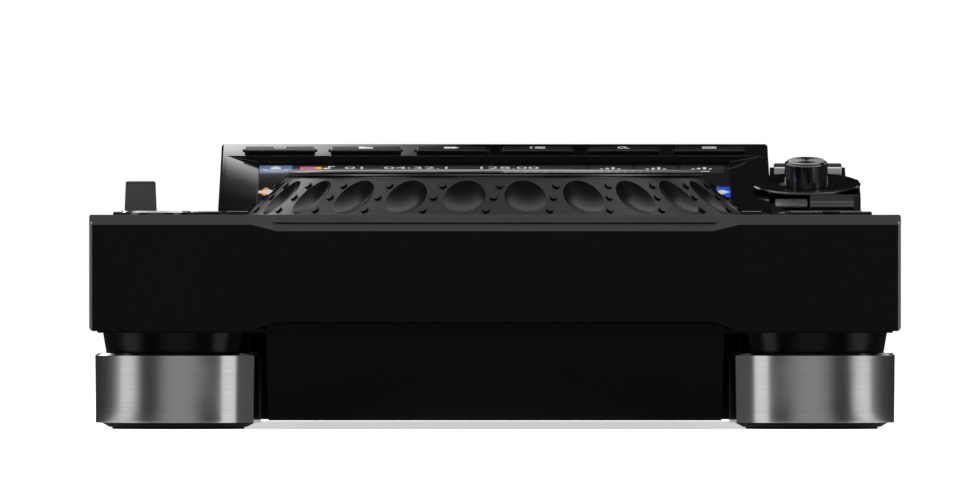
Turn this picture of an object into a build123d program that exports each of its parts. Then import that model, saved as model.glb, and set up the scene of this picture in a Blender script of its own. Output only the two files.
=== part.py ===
from build123d import *
import os
from dataclasses import dataclass
from math import atan2, cos, degrees, hypot, radians, sin, tan

# A tabletop media player for DJs, in millimetres.
# The origin is on the table under the middle of the body, +Y runs to the back, +Z is up.

# ---- Overall sizes ----
width = 329.0
depth = 453.0
height = 117.5
deck_z = 87.0
body_bottom_z = 39.8

# ---- Cabinet ----
wall = 3.0
deck_thickness = 3.0
front_bevel = 4.1
front_bevel_middle = 6.7
step_outer_x = 98.8
step_inner_x = 88.4
front_cutup = 4.0
corner_bevel = 1.5
lower_corner_radius = 1.8
top_side_bevel = 0.5

# ---- Base chassis and feet ----
sheet = 1.6
chassis_gap = 0.3
plate_drop = 0.7
belly_foot_gap = 2.1
belly_floor_z = 3.6
belly_draft = 1.6
belly_back_inset = 12.0
belly_rib_reach = 4.0
belly_rib_length = 11.0
belly_rib_inset = 30.25
apron_lip = 6.0
foot_inset = 1.9
ring_radius = 33.85
ring_bottom_z = 2.6
ring_top_z = 30.8
ring_wall = 4.0
ring_web = 3.0
ring_taper = 0.2
ring_bevel = 1.0
neck_top_inset = 3.15
neck_bottom_inset = 4.55
pad_inset = 2.55
pad_shoulder_inset = 5.85
pad_tread_inset = 6.95
pad_tread_height = 0.8

# ---- Jog wheel ----
jog_y = -106.5
jog_radius = 105.0
crown_radius = 85.6
crown_foot_z = 102.1
jog_lip_z = 84.35
well_gap = 1.3
well_floor_z = 84.0
well_floor_thickness = 3.0
shell_thickness = 4.6
skirt_land_z = 102.0
web_top_z = 95.5
web_thickness = 2.0
dimple_count = 24
dimple_z = 94.1
dimple_length = 20.4
dimple_width = 17.2
dimple_depth = 2.8
stud_radius = 1.6
stud_rise = 0.7
stud_root = 0.3
stud_sides = 8
stud_heights = (98.9, 94.1, 89.0)
stud_turns = (1.2, -0.4, -2.1)
post_radius = 20.0
post_bore = 16.0
bearing_radius = 26.0
hub_wall = 4.0
running_gap = 0.05
cup_radius = 38.5
cup_wall = 1.8
cup_floor_z = 97.0
cup_top_z = 105.3
plate_top_z = 105.6
plate_ring_depth = 3.8
plate_gap = 0.55
crown_lip = 1.1
crown_groove = 0.5

# ---- Display housing ----
tilt = 11.3
housing_width = 231.0
housing_front_y = 40.0
housing_lip = 0.8
housing_wall = 2.6
housing_back_run = 14.0
rim_width = 2.5
facet_width = 13.6
facet_drop = 2.5
screen_length = 112.0
glass_border = 7.9
strip_length = 25.8
strip_plate = 3.0
glass_thickness = 1.2
glass_ledge = 2.4
ledge_thickness = 2.0
lcd_thickness = 3.8
display_well_depth = 6.5

# ---- Push buttons ----
button_gap = 0.3
stop_gap = 0.1
flange_lip = 1.2
flange_thickness = 1.2
cap_edge = 0.4
travel = 0.8
switch_gap = 0.1
switch_size = 6.0
switch_height = 4.0
board_thickness = 1.6

# ---- Direction lever ----
lever_x = -146.0
lever_y = -66.0
lever_pivot_z = 78.0
lever_foot_width = 14.1
lever_top_width = 12.25
lever_top_z = 101.1
lever_thickness = 4.6
lever_swing = 11.0
pivot_radius = 1.6
pivot_length = 2.6
lug_thickness = 3.0

# ---- Tempo slider ----
tempo_x = 138.7
tempo_y = -80.0
tempo_travel = 50.0
tempo_slot = 3.4
tempo_stem = 2.4
tempo_stem_length = 7.0
tempo_cap_width = 17.7
tempo_cap_length = 27.0
tempo_cap_top_z = 95.5
tempo_plate_left_x = 120.2
tempo_plate_right_x = 150.2
tempo_plate_height = 1.8
fader_width = 12.0
fader_height = 14.0

# ---- Small knobs ----
small_knob_x = tempo_x
small_knob_y = {"jog_adjust_knob": 12.0, "vinyl_speed_knob": 44.0}
pot_size = 10.0
small_knob_radius = 6.0
small_knob_height = 7.6
small_knob_lift = 0.4
small_shaft_radius = 3.0

# ---- Selector panel and knob ----
selector_drop = 0.3
selector_left_x = 115.8
selector_right_x = 153.2
selector_back_right_x = 147.5
selector_narrow_y = 113.0
selector_front_y = 76.6
selector_face_run = 4.4
selector_back_y = 140.0
selector_foot_y = 150.0
selector_wall = 2.5
selector_side_wall = 1.0
dish_x = 130.5
dish_y = 93.9
dish_radius = 22.9
dish_rise = 2.6
knob_radius = 9.3
knob_top_radius = 7.6
knob_bevel = 1.1
knob_rise = 9.65
knob_flutes = 14
selector_shaft_radius = 3.0
selector_travel = 0.6
encoder_radius = 7.0

# ---- Back bay ----
bay_recess = 7.5
bay_sheet = 1.5
bay_half_width = 150.5
bay_bottom_z = 43.5
bay_top_z = 80.5
socket_z = 62.0

# ---- Front port ----
port_x = -139.0
port_y = 176.0
port_length = 30.0
port_width = 16.0
port_depth = 6.0

# ---- Worked out from the sizes above ----
front_y = -depth / 2
back_y = depth / 2
half_width = width / 2
deck_under_z = deck_z - deck_thickness
plate_bottom_z = body_bottom_z - plate_drop
plate_top = plate_bottom_z + sheet
foot_x = half_width - foot_inset - ring_radius
foot_y = back_y - foot_inset - ring_radius
belly_half_width = foot_x - ring_radius - belly_foot_gap
belly_rib_half_width = belly_half_width + belly_rib_reach
belly_rib_y = foot_y - belly_rib_inset
neck_top_radius = ring_radius - neck_top_inset
neck_bottom_radius = ring_radius - neck_bottom_inset
pad_radius = ring_radius - pad_inset
pad_shoulder_radius = ring_radius - pad_shoulder_inset
pad_tread_radius = ring_radius - pad_tread_inset
foot_spots = [(sx * foot_x, sy * foot_y) for sx in (-1, 1) for sy in (-1, 1)]
slant_run = jog_radius - crown_radius
slant_fall = crown_foot_z - jog_lip_z
slant_angle = degrees(atan2(slant_fall, slant_run))
well_radius = jog_radius + well_gap
slope = tan(radians(tilt))
housing_front_z = deck_z + housing_lip
slope_length = (height - housing_front_z) / sin(radians(tilt))
strip_start = slope_length - strip_length
screen_start = strip_start - glass_border - screen_length
screen_half_width = housing_width / 2 - rim_width - facet_width
ridge_y = housing_front_y + slope_length * cos(radians(tilt))
housing_back_y = ridge_y + housing_back_run
display_well_z = deck_z - display_well_depth
display_well_back = housing_back_y - 6.0
knob_hole_radius = knob_radius + 0.5
tempo_slot_length = 2 * tempo_travel + tempo_stem_length + 4.0

# The sloping faces: local X runs right, local Y runs up the slope, Z points out.
deck_plane = Plane.XY.offset(deck_z)
face_plane = Plane(
    origin=(0, housing_front_y, housing_front_z),
    x_dir=(1, 0, 0),
    z_dir=(0, -sin(radians(tilt)), cos(radians(tilt))),
)
block_plane = face_plane.offset(-selector_drop)


def up_slope(y):
    """How far up the slope the point above a given y lies."""
    return (y - housing_front_y) / cos(radians(tilt))


def block_top(y):
    """Height of the selector panel's sloping top above a given y."""
    return housing_front_z - selector_drop / cos(radians(tilt)) + (y - housing_front_y) * slope


selector_edge_y = selector_front_y + selector_face_run
face_rise = block_top(selector_edge_y) - deck_z
front_face_length = hypot(selector_face_run, face_rise)
front_face_plane = Plane(
    origin=(0, selector_front_y, deck_z),
    x_dir=(1, 0, 0),
    z_dir=(0, -face_rise, selector_face_run),
)
dish_axis_plane = Plane(
    origin=block_plane.from_local_coords((dish_x, up_slope(dish_y), 0)),
    x_dir=(1, 0, 0),
    z_dir=block_plane.z_dir,
)


@dataclass
class Button:
    """A sprung cap in a panel: its place on the panel's plane and its outline."""

    name: str
    at: tuple
    length: float
    width: float
    rise: float
    corner: float = 1.2
    lips: tuple = (flange_lip, flange_lip)
    is_round: bool = False


def row(names, first, step, length, width, rise, corner=1.2, lips=(flange_lip, flange_lip)):
    """Equal buttons in a straight line."""
    spots = [(first[0] + i * step[0], first[1] + i * step[1]) for i in range(len(names))]
    return [Button(name, spot, length, width, rise, corner, lips) for name, spot in zip(names, spots)]


loop_names = ["loop_in_button", "loop_out_button", "reloop_button"]
hot_cue_names = [f"hot_cue_button_{i + 1}" for i in range(8)]
menu_names = [f"menu_button_{i + 1}" for i in range(6)]
pad_row_y = 21.0
deck_buttons = [
    Button("play_button", (-138.0, -188.0), 24.0, 24.0, 1.2, is_round=True),
    Button("cue_button", (-138.0, -150.0), 24.0, 24.0, 1.2, is_round=True),
    *row(["search_back_button", "search_forward_button"], (-149.0, -118.0), (22, 0), 15.0, 10.0, 1.4),
    *row(["track_back_button", "track_forward_button"], (-149.0, -98.0), (22, 0), 15.0, 10.0, 1.4),
    *row(loop_names, (-146.7, pad_row_y), (13.9, 0), 10.0, 11.0, 1.8),
    *row(hot_cue_names, (-99.05, pad_row_y), (28.3, 0), 24.0, 11.0, 1.9),
    *row(["sync_button", "master_button"], (123.8, 12.0), (0, 32.0), 12.0, 12.0, 1.4, 5.0),
    *row(["tempo_reset_button", "master_tempo_button"], (127.0, -176.0), (20.0, 0), 13.0, 9.0, 1.4),
]
menu_pitch = 36.28
menu_first = (-2.5 * menu_pitch, strip_start + 9.0)
strip_buttons = row(menu_names, menu_first, (menu_pitch, 0), 29.2, 8.4, 1.5, 0.8)
pair_step = 14.8
block_buttons = row(
    ["back_button", "tag_button"],
    (124.3, up_slope(130.6)),
    (pair_step, 0),
    length=13.7,
    width=9.3,
    rise=2.8,
    corner=0.8,
    lips=(0.45, flange_lip),
)
front_buttons = row(
    ["filter_button", "shortcut_button"],
    (124.1, 6.0),
    (pair_step, 0),
    length=13.4,
    width=3.6,
    rise=0.8,
    corner=0.8,
    lips=(0.45, 0.5),
)


def outline(button, grow):
    """The button's outline, grown all round."""
    if button.is_round:
        Circle(button.length / 2 + grow)
    else:
        RectangleRounded(button.length + 2 * grow, button.width + 2 * grow, button.corner + grow)


def cut_openings(plane, buttons, plate):
    """Cuts the panel open for its buttons."""
    with BuildSketch(plane.offset(-plate - 1)) as openings:
        for button in buttons:
            with Locations(button.at):
                outline(button, button_gap)
    extrude(openings.sketch, amount=plate + 3, mode=Mode.SUBTRACT)


def save(builder, name):
    """Labels a finished piece and writes it out."""
    builder.part.label = name
    export_step(builder.part, f"parts/{name}.step")


def make_buttons(plane, buttons, plate):
    """Caps that stop under their panel by a flange."""
    for button in buttons:
        with BuildPart() as cap:
            with BuildSketch(plane.offset(button.rise)):
                with Locations(button.at):
                    outline(button, 0)
            extrude(amount=-(button.rise + plate + stop_gap))
            outward = Axis(plane.origin, plane.z_dir)
            chamfer(cap.faces().filter_by(outward).sort_by(outward)[-1].edges(), cap_edge)
            with BuildSketch(plane.offset(-plate - stop_gap)):
                with Locations(button.at):
                    Rectangle(button.length + 2 * button.lips[0], button.width + 2 * button.lips[1])
            extrude(amount=-flange_thickness)
        save(cap, button.name)


def board_drop(plate, switch):
    """Depth of a key board's top under its panel's outer face."""
    return plate + stop_gap + flange_thickness + travel + switch_gap + switch


def make_board(plane, buttons, plate, centre, size, switch=switch_height, thickness=board_thickness):
    """A key board under a panel, with one tactile switch under each cap."""
    board_plane = plane.offset(-board_drop(plate, switch))
    with BuildSketch(board_plane) as board:
        with Locations(centre):
            Rectangle(*size)
    extrude(board.sketch, amount=-thickness)
    with BuildSketch(board_plane) as switches:
        for button in buttons:
            with Locations(button.at):
                Rectangle(min(switch_size, button.width - 0.4), min(switch_size, button.width - 0.4))
    extrude(switches.sketch, amount=switch)


def hang_posts(plane, spots, size, plate, switch=switch_height):
    """Square posts from a panel's underside down to its key board."""
    with BuildSketch(plane.offset(-plate)) as posts:
        with Locations(*spots):
            Rectangle(size, size)
    extrude(posts.sketch, amount=-(board_drop(plate, switch) - plate))


os.makedirs("parts", exist_ok=True)

post_spots = [(sx * (half_width - 8.0), y) for sx in (-1, 1) for y in (front_y + 13.0, -30.0, back_y - 13.0)]
post_tube_radius = 4.0
pilot_radius = 1.4
screw_depth = 12.0
screw_head_radius = 3.0
screw_head_neck = 1.6
screw_head_depth = 1.4
head_spots = [(x, y, plate_bottom_z) for x, y in post_spots]
standing = (Align.CENTER, Align.CENTER, Align.MIN)
board_top_z = deck_z - board_drop(deck_thickness, switch_height)
left_board_posts = [(-153.8, -169.0), (-122.3, -169.0), (-138.0, -130.5), (-138.0, -108.0)]
pad_board_posts = [(-125.0, 12.0), (-40.0, 30.0), (40.0, 12.0), (105.0, 30.0)]
right_board_posts = [(137.0, -181.0), (137.0, -171.0)]
strip_board_posts = [(x, menu_first[1]) for x in (-2 * menu_pitch, 0.0, 2 * menu_pitch)]
block_board_posts = [(x, block_buttons[0].at[1] - 8.0) for x in (122.0, 141.0)]
front_board_posts = [(148.5, front_buttons[0].at[1])]
front_switch = 1.0

# ---- cabinet: deck and four walls, moulded in one ----
with BuildPart() as cabinet:
    with BuildSketch(Plane.XY.offset(body_bottom_z)):
        Rectangle(width, depth)
    extrude(amount=deck_z - body_bottom_z)
    chamfer(cabinet.edges().filter_by(Axis.Z), corner_bevel)
    lower_sides = cabinet.edges().filter_by(Axis.Y).group_by(Axis.Z)[0]
    fillet(lower_sides, lower_corner_radius)
    upper_sides = cabinet.edges().filter_by(Axis.Y).group_by(Axis.Z)[-1]
    chamfer(upper_sides, top_side_bevel)
    # The front bevel is a 45 degree plane that steps back in the middle over two flat facets.
    bevel_plane = Plane(origin=(0, front_y, deck_z), x_dir=(1, 0, 0), z_dir=(0, 1, 1))
    with BuildSketch(bevel_plane):
        with BuildLine():
            Polyline(
                (-width, front_bevel / 2**0.5),
                (-step_outer_x, front_bevel / 2**0.5),
                (-step_inner_x, front_bevel_middle / 2**0.5),
                (step_inner_x, front_bevel_middle / 2**0.5),
                (step_outer_x, front_bevel / 2**0.5),
                (width, front_bevel / 2**0.5),
                (width, -front_bevel_middle),
                (-width, -front_bevel_middle),
                close=True,
            )
        make_face()
    extrude(amount=2 * front_bevel_middle, both=True, mode=Mode.SUBTRACT)
    # The hollow, with a gusset left behind the bevel.
    with BuildSketch(Plane.XY.offset(body_bottom_z)):
        Rectangle(width - 2 * wall, depth - 2 * wall)
    extrude(amount=deck_under_z - body_bottom_z, mode=Mode.SUBTRACT)
    gusset = front_bevel_middle + wall * 2**0.5 - wall - deck_thickness
    with BuildSketch(Plane.YZ.offset(-half_width + wall)):
        with BuildLine():
            Polyline(
                (front_y + wall, deck_under_z),
                (front_y + wall + gusset, deck_under_z),
                (front_y + wall, deck_under_z - gusset),
                close=True,
            )
        make_face()
    extrude(amount=width - 2 * wall)
    # The front wall's lower edge steps up in the middle, over the apron.
    with BuildSketch(Plane.XZ.offset(-front_y - wall)):
        with BuildLine():
            Polyline(
                (-step_outer_x, body_bottom_z),
                (-step_inner_x, body_bottom_z + front_cutup),
                (step_inner_x, body_bottom_z + front_cutup),
                (step_outer_x, body_bottom_z),
                close=True,
            )
        make_face()
    extrude(amount=wall, mode=Mode.SUBTRACT)
    # Pads under the deck that carry the jog well, the display well and the port.
    display_well_middle = (housing_front_y + 4.0 + display_well_back) / 2
    display_well_length = display_well_back - housing_front_y - 4.0
    with BuildSketch(Plane.XY.offset(well_floor_z - well_floor_thickness)):
        with Locations((0, jog_y)):
            Circle(well_radius + wall)
    extrude(amount=well_floor_thickness)
    with BuildSketch(Plane.XY.offset(display_well_z - wall)):
        with Locations((0, display_well_middle)):
            Rectangle(housing_width - 4.6 + 2 * wall, display_well_length + 2 * wall)
    extrude(amount=deck_under_z - display_well_z + wall)
    with BuildSketch(Plane.XY.offset(deck_z - port_depth - wall)):
        with Locations((port_x, port_y)):
            RectangleRounded(port_length + 2 * wall, port_width + 2 * wall, 4.0)
    extrude(amount=port_depth)
    # The wells themselves.
    with BuildSketch(Plane.XY.offset(well_floor_z)):
        with Locations((0, jog_y)):
            Circle(well_radius)
    extrude(amount=deck_z, mode=Mode.SUBTRACT)
    with BuildSketch(Plane.XY.offset(body_bottom_z)):
        with Locations((0, jog_y)):
            Circle(post_radius + button_gap)
    extrude(amount=deck_z, mode=Mode.SUBTRACT)
    with BuildSketch(Plane.XY.offset(display_well_z)):
        with Locations((0, display_well_middle)):
            Rectangle(housing_width - 4.6, display_well_length)
    extrude(amount=deck_z, mode=Mode.SUBTRACT)
    with BuildSketch(Plane.XY.offset(display_well_z - 2 * wall)):
        with Locations((0, display_well_back - 20.0)):
            SlotOverall(40.0, 12.0)
    extrude(amount=3 * wall, mode=Mode.SUBTRACT)
    with BuildSketch(Plane.XY.offset(deck_z - port_depth)):
        with Locations((port_x, port_y)):
            RectangleRounded(port_length, port_width, 3.0)
    extrude(amount=deck_z, mode=Mode.SUBTRACT)
    with BuildSketch(Plane.XY.offset(deck_z - port_depth - 2 * wall)):
        with Locations((port_x, port_y)):
            Rectangle(14.6 + 2 * button_gap, 7.2 + 2 * button_gap)
        with Locations((port_x, port_y + 26.0)):
            SlotOverall(26.0, 3.0)
    extrude(amount=deck_z, mode=Mode.SUBTRACT)
    # Openings for the caps, the tempo stem, the small knobs and the lever.
    cut_openings(deck_plane, deck_buttons, deck_thickness)
    lever_slot = lever_thickness + 2 * (deck_z - lever_pivot_z) * tan(radians(lever_swing)) + 2.0
    with BuildSketch(Plane.XY.offset(deck_under_z)):
        with Locations((tempo_x, tempo_y)):
            SlotOverall(tempo_slot_length, tempo_slot, rotation=90)
        with Locations(*[(small_knob_x, y) for y in small_knob_y.values()]):
            Circle(small_shaft_radius + running_gap)
        with Locations((lever_x, lever_y)):
            Rectangle(lever_foot_width + 0.8, lever_slot)
    extrude(amount=2 * deck_thickness, mode=Mode.SUBTRACT)
    # Two lugs under the deck carry the lever's pivot.
    lug_x = lever_foot_width / 2 + running_gap + lug_thickness / 2 + 0.2
    lug_drop = deck_under_z - lever_pivot_z + 3.4
    with BuildSketch(Plane.XY.offset(deck_under_z - lug_drop)):
        with Locations((lever_x - lug_x, lever_y), (lever_x + lug_x, lever_y)):
            Rectangle(lug_thickness, 8.0)
    extrude(amount=lug_drop)
    with BuildSketch(Plane.YZ.offset(lever_x - lug_x - lug_thickness)):
        with Locations((lever_y, lever_pivot_z)):
            Circle(pivot_radius + running_gap)
    extrude(amount=2 * (lug_x + lug_thickness), mode=Mode.SUBTRACT)
    hang_posts(deck_plane, left_board_posts + pad_board_posts + right_board_posts, 3.2, deck_thickness)
    # Posts down to the chassis plate, with pilot holes for the case screws.
    with BuildSketch(Plane.XY.offset(plate_top)):
        with Locations(*post_spots):
            Circle(post_tube_radius)
    extrude(amount=deck_under_z - plate_top)
    with BuildSketch(Plane.XY.offset(plate_top)):
        with Locations(*post_spots):
            Circle(pilot_radius)
    extrude(amount=screw_depth, mode=Mode.SUBTRACT)
    # The opening of the connector bay.
    with BuildSketch(Plane.XZ.offset(-back_y)):
        with Locations((0, (bay_bottom_z + bay_top_z) / 2)):
            Rectangle(2 * bay_half_width, bay_top_z - bay_bottom_z)
    extrude(amount=wall, mode=Mode.SUBTRACT)
save(cabinet, "cabinet")

# ---- base_chassis: folded plate, deep belly between the feet, and the foot necks ----
standoff_spots = [(x, y) for x in (-70.0, 70.0) for y in (-150.0, 20.0)]
standoff_height = 8.0
with BuildPart() as base_chassis:
    with BuildSketch(Plane.XY.offset(plate_bottom_z)):
        Rectangle(width - 2 * (wall + chassis_gap), depth - 2 * (wall + chassis_gap))
    extrude(amount=sheet)
    belly_length = depth - 2 * (wall + chassis_gap) - belly_back_inset
    with BuildSketch(Plane.XY.offset(plate_bottom_z)):
        with Locations((0, -belly_back_inset / 2)):
            Rectangle(2 * belly_half_width, belly_length)
        # Ribs close the view past the feet.
        with Locations((0, -belly_rib_y), (0, belly_rib_y)):
            Rectangle(2 * belly_rib_half_width, belly_rib_length)
    extrude(amount=-(plate_bottom_z - belly_floor_z), taper=belly_draft)
    with BuildSketch(Plane.XY.offset(plate_bottom_z)):
        with Locations((0, -belly_back_inset / 2)):
            Rectangle(2 * (belly_half_width - sheet), belly_length - 2 * sheet)
    extrude(amount=-(plate_bottom_z - belly_floor_z - sheet), taper=belly_draft, mode=Mode.SUBTRACT)
    with BuildSketch(Plane.XY.offset(plate_bottom_z)):
        with Locations((0, -belly_back_inset / 2)):
            Rectangle(2 * (belly_half_width - sheet), belly_length - 2 * sheet)
    extrude(amount=sheet, mode=Mode.SUBTRACT)
    # The apron's folded top edge stands behind the front wall.
    with BuildSketch(Plane.XY.offset(plate_bottom_z)):
        with Locations((0, front_y + wall + chassis_gap + sheet / 2)):
            Rectangle(2 * belly_half_width, sheet)
    extrude(amount=sheet + apron_lip)
    # Foot necks taper in towards the rings.
    for spot in foot_spots:
        with BuildSketch(Plane.XY.offset(plate_bottom_z)):
            with Locations(spot):
                Circle(neck_top_radius)
        with BuildSketch(Plane.XY.offset(ring_top_z)):
            with Locations(spot):
                Circle(neck_bottom_radius)
        loft()
    with BuildSketch(Plane.XY.offset(ring_top_z + 3.0)):
        with Locations(*foot_spots):
            Circle(neck_bottom_radius - 3.0)
            Circle(6.0, mode=Mode.SUBTRACT)
    extrude(amount=plate_top, mode=Mode.SUBTRACT)
    with BuildSketch(Plane.XY.offset(ring_top_z)):
        with Locations(*foot_spots):
            Circle(2.5)
    extrude(amount=plate_top, mode=Mode.SUBTRACT)
    with BuildSketch(Plane.XY.offset(belly_floor_z + sheet)):
        with Locations(*standoff_spots):
            Circle(4.0)
            Circle(pilot_radius, mode=Mode.SUBTRACT)
    extrude(amount=standoff_height)
    with BuildSketch(Plane.XY.offset(plate_bottom_z)):
        with Locations(*post_spots):
            Circle(pilot_radius + 0.4)
    extrude(amount=sheet, mode=Mode.SUBTRACT)
    with Locations(*head_spots):
        Cone(
            screw_head_radius + running_gap,
            screw_head_neck + running_gap,
            screw_head_depth,
            align=standing,
            mode=Mode.SUBTRACT,
        )
save(base_chassis, "base_chassis")

# ---- foot_rings and foot_pads ----
with BuildPart() as foot_rings:
    for spot in foot_spots:
        with BuildSketch(Plane(origin=(*spot, 0), x_dir=(1, 0, 0), z_dir=(0, -1, 0))):
            with BuildLine():
                Polyline(
                    (2.8, ring_top_z - ring_web),
                    (ring_radius - ring_wall, ring_top_z - ring_web),
                    (ring_radius - ring_wall, ring_bottom_z),
                    (ring_radius - ring_taper, ring_bottom_z),
                    (ring_radius, ring_top_z - ring_bevel),
                    (ring_radius - ring_bevel, ring_top_z),
                    (2.8, ring_top_z),
                    close=True,
                )
            make_face()
        revolve(axis=Axis((*spot, 0), (0, 0, 1)))
save(foot_rings, "foot_rings")

pad_plug_height = 7.0
with BuildPart() as foot_pads:
    for spot in foot_spots:
        with BuildSketch(Plane.XY):
            with Locations(spot):
                Circle(pad_tread_radius)
        extrude(amount=pad_tread_height)
        with BuildSketch(Plane.XY.offset(pad_tread_height)):
            with Locations(spot):
                Circle(pad_shoulder_radius)
        with BuildSketch(Plane.XY.offset(ring_bottom_z)):
            with Locations(spot):
                Circle(pad_radius)
        loft()
    with BuildSketch(Plane.XY.offset(ring_bottom_z)):
        with Locations(*foot_spots):
            Circle(ring_radius - ring_wall - running_gap)
    extrude(amount=pad_plug_height)
save(foot_pads, "foot_pads")

# ---- button_rings: bright trim round the play and cue caps ----
ring_trim_height = 1.6
ring_trim_radius = 14.4
with BuildPart() as button_rings:
    round_buttons = [button for button in deck_buttons if button.is_round]
    with BuildSketch(deck_plane):
        for button in round_buttons:
            with Locations(button.at):
                Circle(ring_trim_radius)
                Circle(button.length / 2 + button_gap, mode=Mode.SUBTRACT)
    extrude(amount=ring_trim_height)
    crests = button_rings.edges().filter_by(GeomType.CIRCLE).group_by(Axis.Z)[-1]
    chamfer(crests, 0.7)
save(button_rings, "button_rings")

# ---- jog_post: fixed spindle with the display cup on top ----
post_foot_z = well_floor_z - well_floor_thickness - 5.0
with BuildPart() as jog_post:
    with BuildSketch(Plane.XZ.offset(-jog_y)):
        with BuildLine():
            Polyline(
                (post_bore, post_foot_z),
                (post_radius, post_foot_z),
                (post_radius, cup_floor_z),
                (cup_radius, cup_floor_z),
                (cup_radius, cup_top_z),
                (cup_radius - cup_wall, cup_top_z),
                (cup_radius - cup_wall, cup_floor_z + 2.0),
                (post_bore, cup_floor_z + 2.0),
                close=True,
            )
        make_face()
    revolve(axis=Axis((0, jog_y, 0), (0, 0, 1)))
save(jog_post, "jog_post")

# ---- jog_bearing: flanged sleeve that the hub turns on ----
bearing_flange = 1.0
with BuildPart() as jog_bearing:
    with BuildSketch(Plane.XZ.offset(-jog_y)):
        with BuildLine():
            Polyline(
                (post_radius + running_gap, well_floor_z),
                (bearing_radius + hub_wall, well_floor_z),
                (bearing_radius + hub_wall, well_floor_z + bearing_flange),
                (bearing_radius, well_floor_z + bearing_flange),
                (bearing_radius, cup_floor_z),
                (post_radius + running_gap, cup_floor_z),
                close=True,
            )
        make_face()
    revolve(axis=Axis((0, jog_y, 0), (0, 0, 1)))
save(jog_bearing, "jog_bearing")

# ---- jog_lens: round window over the middle display ----
lens_thickness = 1.2
lens_radius = cup_radius - cup_wall - 0.1
lens_z = cup_top_z - 0.2 - lens_thickness
with BuildPart() as jog_lens:
    with BuildSketch(Plane.XY.offset(lens_z)):
        with Locations((0, jog_y)):
            Circle(lens_radius)
    extrude(amount=lens_thickness)
save(jog_lens, "jog_lens")


# ---- jog_wheel: hub, web and dimpled skirt ----
def slant_r(z):
    """Radius of the skirt's cone at a height."""
    return crown_radius + (crown_foot_z - z) * slant_run / slant_fall


def inner_slant_r(z):
    """Radius of the skirt's inner face at a height."""
    return slant_r(z) - shell_thickness / sin(radians(slant_angle))


# The tool for one dimple is an arc along the slant turned about an axis above it.
cone_sink = 0.25
dimple_bite = dimple_depth - cone_sink
dimple_axis_rise = ((dimple_width / 2) ** 2 + cone_sink**2 - dimple_depth**2) / (2 * dimple_bite)
out_x = sin(radians(slant_angle))
out_z = cos(radians(slant_angle))
dimple_centre = (slant_r(dimple_z), jog_y, dimple_z)
dimple_plane = Plane(origin=dimple_centre, x_dir=(out_z, 0, -out_x), z_dir=(0, -1, 0))
with BuildPart() as dimple_tool:
    with BuildSketch(dimple_plane):
        with BuildLine():
            ThreePointArc((-dimple_length / 2, 0), (0, -dimple_depth), (dimple_length / 2, 0))
            Polyline(
                (dimple_length / 2, 0),
                (dimple_length / 2, dimple_axis_rise),
                (-dimple_length / 2, dimple_axis_rise),
                (-dimple_length / 2, 0),
            )
        make_face()
    spin_axis = Axis(dimple_plane.from_local_coords((0, dimple_axis_rise, 0)), (out_z, 0, -out_x))
    revolve(axis=spin_axis)

with BuildPart() as jog_wheel:
    hub_radius = bearing_radius + running_gap
    hub_foot_z = well_floor_z + bearing_flange + button_gap
    web_under_z = web_top_z - web_thickness
    with BuildSketch(Plane.XZ.offset(-jog_y)):
        with BuildLine():
            Polyline(
                (hub_radius, hub_foot_z),
                (hub_radius + hub_wall, hub_foot_z),
                (hub_radius + hub_wall, web_under_z),
                (inner_slant_r(web_under_z), web_under_z),
                (inner_slant_r(jog_lip_z), jog_lip_z),
                (jog_radius, jog_lip_z),
                (slant_r(skirt_land_z), skirt_land_z),
                (crown_radius - 8.0, skirt_land_z),
                (crown_radius - 8.0, web_top_z),
                (hub_radius, web_top_z),
                close=True,
            )
        make_face()
    revolve(axis=Axis((0, jog_y, 0), (0, 0, 1)))
    pitch = 360 / dimple_count
    for i in range(dimple_count):
        turned = dimple_tool.part.rotate(Axis((0, jog_y, 0), (0, 0, 1)), (i + 0.5) * pitch)
        add(turned, mode=Mode.SUBTRACT)
    for stud_z, turn in zip(stud_heights, stud_turns):
        for i in range(dimple_count):
            angle = radians(i * pitch + turn)
            r = slant_r(stud_z)
            outward = (out_x * cos(angle), out_x * sin(angle), out_z)
            seat = Plane(origin=(r * cos(angle), jog_y + r * sin(angle), stud_z), z_dir=outward)
            with BuildSketch(seat.offset(-stud_root)):
                RegularPolygon(stud_radius, stud_sides)
            extrude(amount=stud_rise + stud_root)
save(jog_wheel, "jog_wheel")

# ---- jog_top_plate: touch plate with a grooved, rounded rim ----
plate_under_z = skirt_land_z + plate_gap
groove_z = plate_under_z + crown_lip
with BuildPart() as jog_top_plate:
    with BuildSketch(Plane.XZ.offset(-jog_y)):
        with BuildLine():
            crown = Polyline(
                (crown_radius - 2.4, plate_top_z),
                (cup_radius + 3.5, plate_top_z),
                (cup_radius + 0.8, plate_top_z - 0.6),
                (cup_radius + 0.8, plate_top_z - 2.0),
                (crown_radius - 13.0, plate_top_z - 2.0),
                (crown_radius - 13.0, plate_under_z - plate_ring_depth),
                (crown_radius - 8.4, plate_under_z - plate_ring_depth),
                (crown_radius - 8.4, plate_under_z),
                (crown_radius - 0.7, plate_under_z),
                (crown_radius, plate_under_z + 0.5),
                (crown_radius, groove_z - 0.2),
                (crown_radius - 1.2, groove_z),
                (crown_radius - 1.2, groove_z + crown_groove / 2),
                (crown_radius - 0.4, groove_z + crown_groove),
            )
            RadiusArc(crown @ 1, crown @ 0, -2.6)
        make_face()
    revolve(axis=Axis((0, jog_y, 0), (0, 0, 1)))
save(jog_top_plate, "jog_top_plate")

# ---- display_housing: hollow wedge with a faceted frame round the screen ----
tongue_clear = 0.3
tongue_front_y = housing_front_y + 4.0 + tongue_clear
tongue_back_y = display_well_back - tongue_clear
tongue_foot_z = display_well_z + tongue_clear
tongue_half_width = housing_width / 2 - 2.3 - tongue_clear
glass_start = screen_start - 0.8
glass_middle = (glass_start + strip_start) / 2
glass_length = strip_start - glass_start
glass_half_width = screen_half_width - 0.1
under_plane = face_plane.offset(-facet_drop - glass_thickness - ledge_thickness)


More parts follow.
